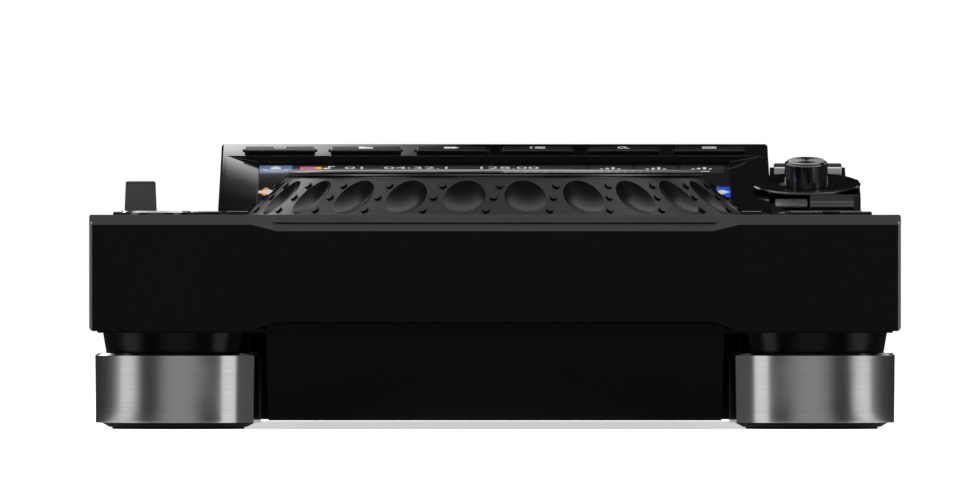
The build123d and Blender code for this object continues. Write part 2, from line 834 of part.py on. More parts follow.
def under_height(y, drop):
    """Height of a plane a given depth under the display's face, above y."""
    return housing_front_z - drop / cos(radians(tilt)) + (y - housing_front_y) * slope


with BuildPart() as display_housing:
    with BuildSketch(Plane.YZ.offset(-housing_width / 2)):
        with BuildLine():
            Polyline(
                (housing_front_y, deck_z),
                (housing_front_y, housing_front_z),
                (ridge_y, height),
                (ridge_y + 2.0, height - 0.6),
                (housing_back_y, deck_z),
                close=True,
            )
        make_face()
    extrude(amount=housing_width)
    side_edges = display_housing.faces().filter_by(Axis.X).edges()
    chamfer(side_edges.filter_by(lambda e: e.center().Z > deck_z + 1), 0.8)
    with BuildSketch(Plane.XY.offset(tongue_foot_z)):
        with Locations((0, (tongue_front_y + tongue_back_y) / 2)):
            Rectangle(2 * tongue_half_width, tongue_back_y - tongue_front_y)
    extrude(amount=deck_z - tongue_foot_z)
    # The hollow runs under the ledge, and higher under the button strip.
    ledge_drop = facet_drop + glass_thickness + ledge_thickness
    hollow_front_y = tongue_front_y + housing_wall
    hollow_back_y = tongue_back_y - housing_wall
    strip_y = housing_front_y + (strip_start + 2.0) * cos(radians(tilt))
    crest_y = ridge_y - 1.6
    with BuildSketch(Plane.YZ.offset(-tongue_half_width + housing_wall)):
        with BuildLine():
            Polyline(
                (hollow_front_y, tongue_foot_z),
                (hollow_front_y, under_height(hollow_front_y, ledge_drop)),
                (strip_y, under_height(strip_y, ledge_drop)),
                (strip_y, under_height(strip_y, strip_plate)),
                (crest_y, under_height(crest_y, strip_plate)),
                (hollow_back_y, deck_z),
                (hollow_back_y, tongue_foot_z),
                close=True,
            )
        make_face()
    extrude(amount=2 * (tongue_half_width - housing_wall), mode=Mode.SUBTRACT)
    # Faceted recess: sides slope down to the glass, and the far end is a step.
    across = Plane(
        origin=face_plane.from_local_coords((0, glass_start, 0)),
        x_dir=(1, 0, 0),
        z_dir=-face_plane.y_dir,
    )
    with BuildSketch(across):
        with BuildLine():
            Polyline(
                (-screen_half_width - facet_width, 0),
                (-screen_half_width, -facet_drop),
                (screen_half_width, -facet_drop),
                (screen_half_width + facet_width, 0),
                (screen_half_width + facet_width, 2.0),
                (-screen_half_width - facet_width, 2.0),
                close=True,
            )
        make_face()
    extrude(amount=-glass_length, mode=Mode.SUBTRACT)
    with BuildSketch(face_plane.offset(-facet_drop - glass_thickness)):
        with Locations((0, glass_middle)):
            Rectangle(2 * screen_half_width, glass_length)
    extrude(amount=2 * facet_drop, mode=Mode.SUBTRACT)
    with BuildSketch(under_plane.offset(-2 * lcd_thickness)):
        with Locations((0, glass_middle)):
            Rectangle(2 * (screen_half_width - glass_ledge), glass_length - 2 * glass_ledge)
    extrude(amount=4 * lcd_thickness, mode=Mode.SUBTRACT)
    # Shallow slots for the menu caps, then their openings.
    with BuildSketch(face_plane):
        for button in strip_buttons:
            with Locations((button.at[0], button.at[1] - 1.0)):
                Rectangle(button.length + 2.4, button.width + 4.0)
    extrude(amount=-0.6, mode=Mode.SUBTRACT)
    cut_openings(face_plane, strip_buttons, strip_plate)
    hang_posts(face_plane, strip_board_posts, 3.0, strip_plate)
save(display_housing, "display_housing")

# ---- display_glass and the display modules bonded under their windows ----
with BuildPart() as display_glass:
    with BuildSketch(face_plane.offset(-facet_drop - glass_thickness)):
        with Locations((0, glass_middle)):
            Rectangle(2 * glass_half_width, glass_length - 0.2)
    extrude(amount=glass_thickness)
save(display_glass, "display_glass")

with BuildPart() as lcd_modules:
    with BuildSketch(face_plane.offset(-facet_drop - glass_thickness)):
        with Locations((0, glass_middle)):
            Rectangle(2 * (screen_half_width - glass_ledge - 0.2), glass_length - 2 * glass_ledge - 0.4)
    extrude(amount=-lcd_thickness)
    with BuildSketch(Plane.XY.offset(lens_z)):
        with Locations((0, jog_y)):
            Circle(lens_radius - 0.8)
    extrude(amount=-(lens_z - cup_floor_z - 2.0))
save(lcd_modules, "lcd_modules")

# ---- selector_block: hollow wedge beside the display, with a steep front face ----
with BuildPart() as selector_block:
    with BuildSketch(Plane.YZ.offset(selector_left_x)):
        with BuildLine():
            Polyline(
                (selector_front_y, deck_z),
                (selector_edge_y, block_top(selector_edge_y)),
                (selector_back_y, block_top(selector_back_y)),
                (selector_foot_y, deck_z),
                close=True,
            )
        make_face()
    extrude(amount=selector_right_x - selector_left_x)
    block_right = selector_block.faces().filter_by(Axis.X).sort_by(Axis.X)[-1]
    chamfer(block_right.edges().filter_by(lambda e: e.center().Z > deck_z + 1), 0.8)
    # The right end steps in behind the dish.
    with BuildSketch(deck_plane):
        with BuildLine():
            Polyline(
                (selector_right_x + 1.0, selector_narrow_y - 1.0),
                (selector_back_right_x, selector_narrow_y + selector_right_x - selector_back_right_x),
                (selector_back_right_x, selector_foot_y + 1.0),
                (selector_right_x + 1.0, selector_foot_y + 1.0),
                close=True,
            )
        make_face()
    extrude(amount=height - deck_z, mode=Mode.SUBTRACT)
    # The hollow keeps the plates an even thickness.
    inner_front = selector_front_y + selector_wall * front_face_length / face_rise
    inner_rise = selector_wall / cos(radians(tilt))
    lean = selector_face_run / face_rise
    inner_edge = (inner_front + lean * (block_top(0) - inner_rise - deck_z)) / (1 - lean * slope)
    with BuildSketch(Plane.YZ.offset(selector_left_x + selector_side_wall)):
        with BuildLine():
            Polyline(
                (inner_front, deck_z),
                (inner_edge, block_top(inner_edge) - inner_rise),
                (selector_back_y - selector_wall, block_top(selector_back_y - selector_wall) - inner_rise),
                (selector_foot_y - selector_wall, deck_z),
                close=True,
            )
        make_face()
    inner_width = selector_back_right_x - selector_left_x - 2 * selector_side_wall
    extrude(amount=inner_width, mode=Mode.SUBTRACT)
    inner_step_y = selector_narrow_y - wall
    with BuildSketch(Plane.YZ.offset(selector_left_x + selector_side_wall)):
        with BuildLine():
            Polyline(
                (inner_front, deck_z),
                (inner_edge, block_top(inner_edge) - inner_rise),
                (inner_step_y, block_top(inner_step_y) - inner_rise),
                (inner_step_y, deck_z),
                close=True,
            )
        make_face()
    front_inner_width = selector_right_x - selector_left_x - selector_side_wall - selector_wall
    extrude(amount=front_inner_width, mode=Mode.SUBTRACT)
    with BuildSketch(dish_axis_plane.offset(-2 * selector_wall)):
        Circle(knob_hole_radius)
    extrude(amount=3 * selector_wall, mode=Mode.SUBTRACT)
    cut_openings(block_plane, block_buttons, selector_wall)
    cut_openings(front_face_plane, front_buttons, selector_wall)
    hang_posts(block_plane, block_board_posts, 2.4, selector_wall)
    hang_posts(front_face_plane, front_board_posts, 2.2, selector_wall, front_switch)
save(selector_block, "selector_block")

# ---- selector_dish: concave saucer round the knob ----
with BuildPart() as selector_dish:
    dish_section = Plane(origin=dish_axis_plane.origin, x_dir=(1, 0, 0), z_dir=-dish_axis_plane.y_dir)
    with BuildSketch(dish_section):
        with BuildLine():
            rim = Polyline(
                (11.6, 1.5),
                (knob_hole_radius, 0.9),
                (knob_hole_radius, 0),
                (12.4, 0),
                (14.6, selector_drop + 0.25),
                (dish_radius - 0.6, dish_rise - 1.0),
                (dish_radius, dish_rise - 0.6),
                (dish_radius - 0.6, dish_rise),
                (dish_radius - 1.2, dish_rise),
            )
            ThreePointArc(rim @ 1, (16.6, 1.95), rim @ 0)
        make_face()
    revolve(axis=Axis(dish_axis_plane.origin, dish_axis_plane.z_dir))
save(selector_dish, "selector_dish")

# ---- selector_plunger and selector_knob ----
encoder_top = -selector_wall - 1.0
plunger_foot = encoder_top - 4.5
knob_foot = 0.4
knob_top = dish_rise + knob_rise
knob_bore_top = knob_top - 3.0
with BuildPart() as selector_plunger:
    with BuildSketch(dish_axis_plane.offset(plunger_foot)):
        Circle(selector_shaft_radius)
    extrude(amount=knob_bore_top - 0.3 - plunger_foot)
    with BuildSketch(dish_axis_plane.offset(encoder_top + selector_travel + 0.2)):
        Circle(selector_shaft_radius + 1.2)
    extrude(amount=0.8)
save(selector_plunger, "selector_plunger")

with BuildPart() as selector_knob:
    with BuildSketch(dish_section):
        with BuildLine():
            Polyline(
                (selector_shaft_radius + running_gap, knob_foot),
                (knob_radius, knob_foot),
                (knob_radius - 0.35, knob_top - knob_bevel),
                (knob_top_radius, knob_top),
                (0, knob_top),
                (0, knob_bore_top),
                (selector_shaft_radius + running_gap, knob_bore_top),
                close=True,
            )
        make_face()
    revolve(axis=Axis(dish_axis_plane.origin, dish_axis_plane.z_dir))
    with BuildSketch(dish_axis_plane.offset(knob_foot)):
        with PolarLocations(knob_radius + 0.35, knob_flutes):
            Circle(0.9)
    extrude(amount=knob_top - knob_foot - knob_bevel, mode=Mode.SUBTRACT)
save(selector_knob, "selector_knob")

# ---- small knobs with their shafts ----
for knob_name, knob_y in small_knob_y.items():
    with BuildPart() as small_knob:
        foot_z = deck_z + small_knob_lift
        top_z = foot_z + small_knob_height
        with BuildSketch(Plane(origin=(small_knob_x, knob_y, 0), x_dir=(1, 0, 0), z_dir=(0, -1, 0))):
            with BuildLine():
                Polyline(
                    (0, top_z),
                    (small_knob_radius - 0.9, top_z),
                    (small_knob_radius - 0.4, top_z - 0.5),
                    (small_knob_radius, foot_z),
                    (small_shaft_radius, foot_z),
                    (small_shaft_radius, deck_under_z - 4.0),
                    (0, deck_under_z - 4.0),
                    close=True,
                )
            make_face()
        revolve(axis=Axis((small_knob_x, knob_y, 0), (0, 0, 1)))
        with BuildSketch(Plane.XY.offset(top_z)):
            with Locations((small_knob_x, knob_y + small_knob_radius - 2.6)):
                Rectangle(0.9, 3.6)
        extrude(amount=-0.5, mode=Mode.SUBTRACT)
    save(small_knob, knob_name)

# ---- direction_lever: tapered paddle on a cross pivot ----
with BuildPart() as direction_lever:
    with BuildSketch(Plane.XY.offset(lever_top_z)):
        with Locations((lever_x, lever_y)):
            Rectangle(lever_top_width, lever_thickness - 1.0)
    with BuildSketch(Plane.XY.offset(lever_pivot_z)):
        with Locations((lever_x, lever_y)):
            Rectangle(lever_foot_width, lever_thickness)
    loft()
    fillet(direction_lever.faces().sort_by(Axis.Z)[-1].edges(), 0.9)
    with BuildSketch(Plane.YZ.offset(lever_x - lever_foot_width / 2)):
        with Locations((lever_y, lever_pivot_z)):
            Circle(3.2)
    extrude(amount=lever_foot_width)
    pivot_reach = lever_foot_width / 2 + pivot_length
    with BuildSketch(Plane.YZ.offset(lever_x - pivot_reach)):
        with Locations((lever_y, lever_pivot_z)):
            Circle(pivot_radius)
    extrude(amount=2 * pivot_reach)
save(direction_lever, "direction_lever")

# ---- tempo slider: escutcheon, cap with stem, and the fader below ----
tempo_plate_length = 2 * tempo_travel + tempo_cap_length + 2.0
stem_foot_z = deck_under_z - 9.0
with BuildPart() as tempo_escutcheon:
    plate_middle_x = (tempo_plate_left_x + tempo_plate_right_x) / 2
    with BuildSketch(deck_plane):
        with Locations((plate_middle_x, tempo_y)):
            RectangleRounded(tempo_plate_right_x - tempo_plate_left_x, tempo_plate_length, 2.0)
        with Locations((tempo_x, tempo_y)):
            SlotOverall(tempo_slot_length, tempo_slot, rotation=90, mode=Mode.SUBTRACT)
    extrude(amount=tempo_plate_height)
    chamfer(tempo_escutcheon.faces().sort_by(Axis.Z)[-1].outer_wire().edges(), 0.5)
save(tempo_escutcheon, "tempo_escutcheon")

cap_foot_z = deck_z + tempo_plate_height + 0.4
cap_shoulder_z = cap_foot_z + 3.0
with BuildPart() as tempo_cap:
    with BuildSketch(Plane.YZ.offset(tempo_x - tempo_cap_width / 2)):
        half_cap = tempo_cap_length / 2
        ridge = 4.5
        with BuildLine():
            Polyline(
                (tempo_y + half_cap, cap_shoulder_z),
                (tempo_y + half_cap, cap_foot_z),
                (tempo_y - half_cap, cap_foot_z),
                (tempo_y - half_cap, cap_shoulder_z),
            )
            RadiusArc((tempo_y - half_cap, cap_shoulder_z), (tempo_y - ridge, tempo_cap_top_z), 22.0)
            Polyline(
                (tempo_y - ridge, tempo_cap_top_z),
                (tempo_y - 0.6, tempo_cap_top_z),
                (tempo_y, tempo_cap_top_z - 0.8),
                (tempo_y + 0.6, tempo_cap_top_z),
                (tempo_y + ridge, tempo_cap_top_z),
            )
            RadiusArc((tempo_y + ridge, tempo_cap_top_z), (tempo_y + half_cap, cap_shoulder_z), 22.0)
        make_face()
    extrude(amount=tempo_cap_width)
    with BuildSketch(Plane.XY.offset(cap_foot_z)):
        with Locations((tempo_x, tempo_y)):
            Rectangle(tempo_stem, tempo_stem_length)
    extrude(amount=-(cap_foot_z - stem_foot_z))
save(tempo_cap, "tempo_cap")

with BuildPart() as tempo_fader:
    fader_length = 2 * tempo_travel + tempo_stem_length + 16.0
    with BuildSketch(Plane.XY.offset(deck_under_z)):
        with Locations((tempo_x, tempo_y)):
            Rectangle(fader_width, fader_length)
    extrude(amount=-fader_height)
    with BuildSketch(Plane.XY.offset(deck_under_z)):
        with Locations((tempo_x, tempo_y)):
            Rectangle(tempo_slot, tempo_slot_length)
    extrude(amount=-(deck_under_z - stem_foot_z + 1.0), mode=Mode.SUBTRACT)
save(tempo_fader, "tempo_fader")

# ---- circuit_boards: main board, key boards with switches, encoder and knob pots ----
main_board_z = belly_floor_z + sheet + standoff_height
# The selector's encoder stands on the deck, square to the slope.
with BuildPart() as encoder:
    with BuildSketch(dish_axis_plane.offset(encoder_top)):
        Circle(encoder_radius)
    extrude(amount=-4 * encoder_radius)
    split(bisect_by=deck_plane, keep=Keep.TOP)
    with BuildSketch(dish_axis_plane.offset(encoder_top)):
        Circle(selector_shaft_radius + running_gap)
    extrude(amount=plunger_foot - encoder_top - selector_travel - 0.3, mode=Mode.SUBTRACT)

with BuildPart() as circuit_boards:
    with BuildSketch(Plane.XY.offset(main_board_z)):
        with Locations((0, -65.0)):
            Rectangle(160.0, 190.0)
    extrude(amount=board_thickness)
    with BuildSketch(Plane.XY.offset(main_board_z + board_thickness)):
        with Locations((-20.0, -80.0)):
            Rectangle(31.0, 31.0)
        with Locations((30.0, -80.0), (30.0, -60.0)):
            Rectangle(14.0, 10.0)
    extrude(amount=2.0)
    pick = {button.name: button for button in deck_buttons}
    left_keys = [b for b in deck_buttons if b.at[0] < -110 and b.at[1] < -80]
    pad_keys = [b for b in deck_buttons if b.at[1] == pad_row_y]
    right_front_keys = [pick["tempo_reset_button"], pick["master_tempo_button"]]
    right_back_keys = [pick["sync_button"], pick["master_button"]]
    make_board(deck_plane, left_keys, deck_thickness, (-138.0, -146.0), (36.0, 112.0))
    make_board(deck_plane, pad_keys, deck_thickness, (-20.0, pad_row_y), (268.0, 22.0))
    make_board(deck_plane, right_front_keys, deck_thickness, (137.0, -176.0), (38.0, 16.0))
    make_board(deck_plane, right_back_keys, deck_thickness, (132.8, 28.0), (32.0, 48.0))
    strip_middle = strip_buttons[0].at[1]
    make_board(face_plane, strip_buttons, strip_plate, (0, strip_middle), (206.0, 9.0))
    block_spot = (131.8, block_buttons[0].at[1] - 2.5)
    make_board(block_plane, block_buttons, selector_wall, block_spot, (28.6, 14.5))
    front_spot = (133.0, front_buttons[0].at[1])
    make_board(front_face_plane, front_buttons, selector_wall, front_spot, (32.0, 3.2), front_switch, 0.8)
    # Pots under the small knobs stand on the right board and reach the deck.
    with BuildSketch(Plane.XY.offset(board_top_z)):
        with Locations(*[(small_knob_x, y) for y in small_knob_y.values()]):
            Rectangle(pot_size, pot_size)
    extrude(amount=deck_under_z - board_top_z)
    with BuildSketch(Plane.XY.offset(deck_under_z)):
        with Locations(*[(small_knob_x, y) for y in small_knob_y.values()]):
            Circle(small_shaft_radius + button_gap)
    extrude(amount=-4.6, mode=Mode.SUBTRACT)
    add(encoder.part)
save(circuit_boards, "circuit_boards")

# ---- power_supply: vented can on the chassis floor, with a transformer core inside ----
supply_spot = (-30.0, 130.0)
supply_size = (110.0, 70.0)
supply_height = 30.0
supply_wall = 1.2
with BuildPart() as power_supply:
    with BuildSketch(Plane.XY.offset(belly_floor_z + sheet)):
        with Locations(supply_spot):
            Rectangle(*supply_size)
    extrude(amount=supply_height)
    with BuildSketch(Plane.XY.offset(belly_floor_z + sheet + supply_wall)):
        with Locations(supply_spot):
            Rectangle(supply_size[0] - 2 * supply_wall, supply_size[1] - 2 * supply_wall)
            Rectangle(40.0, 30.0, mode=Mode.SUBTRACT)
    extrude(amount=supply_height - 2 * supply_wall, mode=Mode.SUBTRACT)
    with BuildSketch(Plane.XY.offset(belly_floor_z + sheet + supply_height)):
        with Locations(supply_spot):
            with GridLocations(14.0, 40.0, 6, 1):
                SlotOverall(50.0, 4.0, rotation=90)
    extrude(amount=-supply_wall - 4.0, mode=Mode.SUBTRACT)
save(power_supply, "power_supply")

# ---- rear_panel: recessed pan that carries the sockets ----
pan_back_y = back_y - wall
pan_face_y = pan_back_y - bay_recess
pan_front_y = pan_face_y - bay_sheet
inlet_x = -118.0
power_x = -84.0
lan_x = 0.0
usb_b_x = 34.0
phono_spots = [(66.0, socket_z), (104.0, socket_z), (122.0, socket_z)]
inlet_size = (27.0, 20.0)
lan_size = (15.9, 13.4)
usb_b_size = (12.0, 10.8)
power_size = (12.0, 9.0)
phono_radius = 4.15
phono_length = 8.0
phono_shoulder = 5.0
phono_body = 12.0
with BuildPart() as rear_panel:
    with BuildSketch(Plane.XZ.offset(-pan_back_y)):
        with Locations((0, (bay_bottom_z + bay_top_z) / 2)):
            Rectangle(2 * (bay_half_width + bay_sheet), bay_top_z - bay_bottom_z + 2 * bay_sheet)
    extrude(amount=bay_recess + bay_sheet)
    with BuildSketch(Plane.XZ.offset(-pan_back_y)):
        with Locations((0, (bay_bottom_z + bay_top_z) / 2)):
            Rectangle(2 * bay_half_width, bay_top_z - bay_bottom_z)
    extrude(amount=bay_recess, mode=Mode.SUBTRACT)
    with BuildSketch(Plane.XZ.offset(-pan_face_y)):
        with Locations((inlet_x, socket_z)):
            Rectangle(inlet_size[0] + 0.4, inlet_size[1] + 0.4)
        with Locations((lan_x, socket_z)):
            Rectangle(lan_size[0] + 0.4, lan_size[1] + 0.4)
        with Locations((usb_b_x, socket_z)):
            Rectangle(usb_b_size[0] + 0.4, usb_b_size[1] + 0.4)
        with Locations((power_x, socket_z)):
            RectangleRounded(power_size[0] + 2 * button_gap, power_size[1] + 2 * button_gap, 1.3)
        with Locations(*phono_spots):
            Circle(phono_shoulder + 0.1)
        with Locations((142.0, socket_z)):
            Rectangle(7.0, 3.0)
    extrude(amount=bay_sheet, mode=Mode.SUBTRACT)
save(rear_panel, "rear_panel")

# ---- sockets: mains inlet, network, data, phono jacks, and the port on the deck ----
with BuildPart() as sockets:
    with BuildSketch(Plane.XZ.offset(-pan_face_y - 1.5)):
        with Locations((inlet_x, socket_z)):
            RectangleRounded(*inlet_size, 2.0)
            RectangleRounded(24.0, 16.5, 3.0, mode=Mode.SUBTRACT)
    extrude(amount=21.5)
    with BuildSketch(Plane.XZ.offset(-pan_face_y + 18.0)):
        with Locations((inlet_x, socket_z)):
            Rectangle(*inlet_size)
    extrude(amount=2.0)
    with BuildSketch(Plane.XZ.offset(-pan_face_y + 18.0)):
        with Locations((inlet_x, socket_z + 2.0)):
            Rectangle(2.0, 4.0)
        with Locations((inlet_x - 7.0, socket_z - 2.0), (inlet_x + 7.0, socket_z - 2.0)):
            Rectangle(2.0, 4.0)
    extrude(amount=-12.0)
    with BuildSketch(Plane.XZ.offset(-pan_face_y)):
        with Locations((lan_x, socket_z)):
            Rectangle(*lan_size)
            Rectangle(11.8, 8.4, mode=Mode.SUBTRACT)
    extrude(amount=13.0)
    with BuildSketch(Plane.XZ.offset(-pan_face_y + 13.0)):
        with Locations((lan_x, socket_z)):
            Rectangle(*lan_size)
    extrude(amount=2.0)
    with BuildSketch(Plane.XZ.offset(-pan_face_y)):
        with Locations((usb_b_x, socket_z)):
            Rectangle(*usb_b_size)
            Rectangle(8.6, 7.9, mode=Mode.SUBTRACT)
    extrude(amount=12.0)
    with BuildSketch(Plane.XZ.offset(-pan_face_y + 12.0)):
        with Locations((usb_b_x, socket_z)):
            Rectangle(*usb_b_size)
    extrude(amount=2.0)
    with BuildSketch(Plane.XZ.offset(-pan_face_y + 12.0)):
        with Locations((usb_b_x, socket_z)):
            Rectangle(5.6, 3.2)
    extrude(amount=-9.0)
    # Phono jacks: a barrel with a centre bore, a shoulder in the panel and a block behind it.
    with BuildSketch(Plane.XZ.offset(-pan_face_y - phono_length)):
        with Locations(*phono_spots):
            Circle(phono_radius)
    extrude(amount=phono_length)
    with BuildSketch(Plane.XZ.offset(-pan_face_y)):
        with Locations(*phono_spots):
            Circle(phono_shoulder)
    extrude(amount=bay_sheet)
    with BuildSketch(Plane.XZ.offset(-pan_front_y)):
        with Locations(*phono_spots):
            Rectangle(phono_body, phono_body)
    extrude(amount=10.0)
    with BuildSketch(Plane.XZ.offset(-pan_face_y - phono_length)):
        with Locations(*phono_spots):
            Circle(1.6)
    extrude(amount=phono_length, mode=Mode.SUBTRACT)
    # The data port on the deck: metal shell with a tongue, hung under the port's floor.
    port_floor_z = deck_z - port_depth
    with BuildSketch(Plane.XY.offset(port_floor_z - 1.0)):
        with Locations((port_x, port_y)):
            Rectangle(14.6, 7.2)
            Rectangle(13.2, 5.8, mode=Mode.SUBTRACT)
    extrude(amount=-14.0)
    with BuildSketch(Plane.XY.offset(port_floor_z - wall)):
        with Locations((port_x, port_y)):
            Rectangle(20.0, 12.0)
            Rectangle(13.2, 5.8, mode=Mode.SUBTRACT)
    extrude(amount=-12.0)
    with BuildSketch(Plane.XY.offset(port_floor_z - wall - 12.0)):
        with Locations((port_x, port_y)):
            Rectangle(20.0, 12.0)
    extrude(amount=-2.0)
    with BuildSketch(Plane.XY.offset(port_floor_z - wall - 12.0)):
        with Locations((port_x, port_y - 1.4)):
            Rectangle(11.0, 2.0)
    extrude(amount=9.0)
    # Card reader under its slot.
    with BuildSketch(Plane.XY.offset(deck_under_z)):
        with Locations((port_x, port_y + 26.0)):
            Rectangle(30.0, 6.0)
            Rectangle(25.0, 2.4, mode=Mode.SUBTRACT)
    extrude(amount=-18.0)
save(sockets, "sockets")

# ---- power_button: latching push button in the back bay ----
with BuildPart() as power_button:
    with BuildSketch(Plane.XZ.offset(-pan_face_y - 4.0)):
        with Locations((power_x, socket_z)):
            RectangleRounded(*power_size, 1.0)
    extrude(amount=4.0 + bay_sheet + stop_gap)
    chamfer(power_button.faces().sort_by(Axis.Y)[-1].edges(), cap_edge)
    with BuildSketch(Plane.XZ.offset(-pan_front_y + stop_gap)):
        with Locations((power_x, socket_z)):
            Rectangle(power_size[0] + 2 * flange_lip, power_size[1] + 2 * flange_lip)
    extrude(amount=flange_thickness)
save(power_button, "power_button")

# ---- all the sprung caps ----
make_buttons(deck_plane, deck_buttons, deck_thickness)
make_buttons(face_plane, strip_buttons, strip_plate)
make_buttons(block_plane, block_buttons, selector_wall)
make_buttons(front_face_plane, front_buttons, selector_wall)

# ---- fasteners: case screws, foot screws, panel screws and the jog ring nut ----
with BuildPart() as fasteners:
    # The case screws' heads are countersunk flush with the plate.
    with Locations(*head_spots):
        Cone(screw_head_radius, screw_head_neck, screw_head_depth, align=standing)
    with BuildSketch(Plane.XY.offset(plate_bottom_z)):
        with Locations(*post_spots):
            Circle(pilot_radius - 0.1)
    extrude(amount=sheet + screw_depth - 1.0)
    web_under = ring_top_z - ring_web
    with BuildSketch(Plane.XY.offset(web_under)):
        with Locations(*foot_spots):
            Circle(5.0)
    extrude(amount=-3.0)
    with BuildSketch(Plane.XY.offset(web_under)):
        with Locations(*foot_spots):
            Circle(2.4)
    extrude(amount=ring_web + 8.0)
    with BuildSketch(Plane.XY.offset(well_floor_z - well_floor_thickness)):
        with Locations((0, jog_y)):
            RegularPolygon(post_radius + 9.0, 6)
            Circle(post_radius + running_gap, mode=Mode.SUBTRACT)
    extrude(amount=-4.0)
    with BuildSketch(Plane.XZ.offset(-pan_face_y)):
        with Locations((-146.0, 47.5), (146.0, 47.5), (-146.0, 76.5), (146.0, 76.5)):
            Circle(2.2)
    extrude(amount=-1.6)
save(fasteners, "fasteners")
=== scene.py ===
import math
import random

import bpy
from mathutils import Matrix, Vector


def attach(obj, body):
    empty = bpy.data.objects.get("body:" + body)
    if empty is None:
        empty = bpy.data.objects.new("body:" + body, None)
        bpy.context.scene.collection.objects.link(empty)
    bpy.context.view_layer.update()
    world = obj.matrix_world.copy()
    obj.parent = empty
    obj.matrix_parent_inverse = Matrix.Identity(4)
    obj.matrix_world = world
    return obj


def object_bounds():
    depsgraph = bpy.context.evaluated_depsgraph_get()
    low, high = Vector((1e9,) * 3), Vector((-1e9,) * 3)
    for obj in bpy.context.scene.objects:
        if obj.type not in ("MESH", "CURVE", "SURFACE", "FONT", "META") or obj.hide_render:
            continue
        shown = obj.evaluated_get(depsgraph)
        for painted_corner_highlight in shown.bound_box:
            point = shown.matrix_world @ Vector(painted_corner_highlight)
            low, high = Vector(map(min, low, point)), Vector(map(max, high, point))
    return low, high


# Looks of a tabletop media player for DJs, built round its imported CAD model, in metres.
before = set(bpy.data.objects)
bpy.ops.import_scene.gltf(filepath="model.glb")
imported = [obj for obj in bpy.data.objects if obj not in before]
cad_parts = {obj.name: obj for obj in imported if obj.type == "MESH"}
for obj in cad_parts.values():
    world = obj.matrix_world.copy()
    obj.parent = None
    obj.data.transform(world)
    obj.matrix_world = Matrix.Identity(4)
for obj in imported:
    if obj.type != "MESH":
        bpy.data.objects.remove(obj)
cad_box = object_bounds()
MM = 0.001
random.seed(4)

# ---- Driving dimensions, the same as the CAD model's ----
SIDE_X = 164.5 * MM
FRONT_Y = -226.5 * MM
DECK_Z = 87.0 * MM
HEIGHT = 117.5 * MM
TILT = math.radians(11.3)
FACE_FRONT = Vector((0, 40.0, 87.8)) * MM
BLOCK_DROP = 0.3 * MM
SLOPE_LENGTH = (HEIGHT - FACE_FRONT.z) / math.sin(TILT)
STRIP_START = SLOPE_LENGTH - 25.8 * MM
LCD_DROP = 3.7 * MM
JOG_Y = -106.5 * MM
CROWN_R = 85.6 * MM
GROOVE_Z = 103.65 * MM
PLATE_TOP_Z = 105.6 * MM
LENS_Z = 103.9 * MM
FOOT_SPOT = Vector((128.75, 190.75, 0)) * MM
FOOT_R = 33.85 * MM
NECK_R = 31.5 * MM
RING_TOP_Z = 31.5 * MM
DISH_X = 130.5 * MM
DISH_Y = 93.9 * MM
DISH_R = 22.9 * MM
KNOB_TOP = 12.25 * MM
PAIR_Y = 130.6 * MM
PAIR_HALF = 4.65 * MM
MENU_PITCH = 36.28 * MM
TEMPO_X = 138.7 * MM
TEMPO_Y = -80.0 * MM
LEVER_X = -146.0 * MM
LEVER_Y = -66.0 * MM
PAN_Y = 219.0 * MM
SOCKET_Z = 62.0 * MM
JACKS_X = {"digital": 66.0 * MM, "left": 104.0 * MM, "right": 122.0 * MM}


class Plane:
    """A place with its own right, up and outward directions."""

    def __init__(self, origin, right, up):
        self.origin = Vector(origin)
        self.right = Vector(right).normalized()
        self.up = Vector(up).normalized()
        self.out = self.right.cross(self.up)

    def at(self, u, v, w=0.0):
        return self.origin + self.right * u + self.up * v + self.out * w

    def matrix(self, u=0.0, v=0.0, w=0.0):
        m = Matrix((self.right, self.up, self.out)).transposed().to_4x4()
        m.translation = self.at(u, v, w)
        return m


UP_SLOPE = Vector((0, math.cos(TILT), math.sin(TILT)))
DECK = Plane((0, 0, DECK_Z), (1, 0, 0), (0, 1, 0))
FACE = Plane(FACE_FRONT, (1, 0, 0), UP_SLOPE)
BLOCK = Plane(FACE.at(0, 0, -BLOCK_DROP), (1, 0, 0), UP_SLOPE)
DISH_V = (DISH_Y - FACE_FRONT.y) / math.cos(TILT)
DISH = Plane(BLOCK.at(DISH_X, DISH_V), (1, 0, 0), UP_SLOPE)
SCREEN = Plane(FACE.at(0, 0, -LCD_DROP), (1, 0, 0), UP_SLOPE)
JOG_SCREEN = Plane((0, JOG_Y, LENS_Z), (1, 0, 0), (0, 1, 0))
BACK = Plane((0, PAN_Y, 0), (-1, 0, 0), (0, 0, 1))


# ---- Shader steps; each adds its nodes to the tree that its first socket belongs to ----
def node(owner, kind, **settings):
    """A new node in the tree of a material or a world, or in the tree that a socket is in."""
    tree = getattr(owner, "node_tree", None) or owner.id_data
    made = tree.nodes.new(kind)
    for key, value in settings.items():
        setattr(made, key, value)
    return made


def link(a, b):
    a.id_data.links.new(a, b)


def shader_of(mat):
    return mat.node_tree.nodes["Principled BSDF"]


def is_socket(value):
    return isinstance(value, bpy.types.NodeSocket)


def maths(operation, a, b=0.0):
    """One arithmetic step on two numbers, of which at least one is a socket."""
    made = node(a if is_socket(a) else b, "ShaderNodeMath", operation=operation)
    for socket, value in zip(made.inputs, (a, b)):
        if is_socket(value):
            link(value, socket)
        else:
            socket.default_value = value
    return made.outputs[0]


def vector_maths(operation, a, b=None):
    """One step on a vector socket; b is another, or a fixed vector, or nothing."""
    made = node(a, "ShaderNodeVectorMath", operation=operation)
    link(a, made.inputs[0])
    if is_socket(b):
        link(b, made.inputs[1])
    elif b is not None:
        made.inputs[1].default_value = tuple(b)
    return made.outputs["Value" if operation in ("DOT_PRODUCT", "LENGTH") else "Vector"]


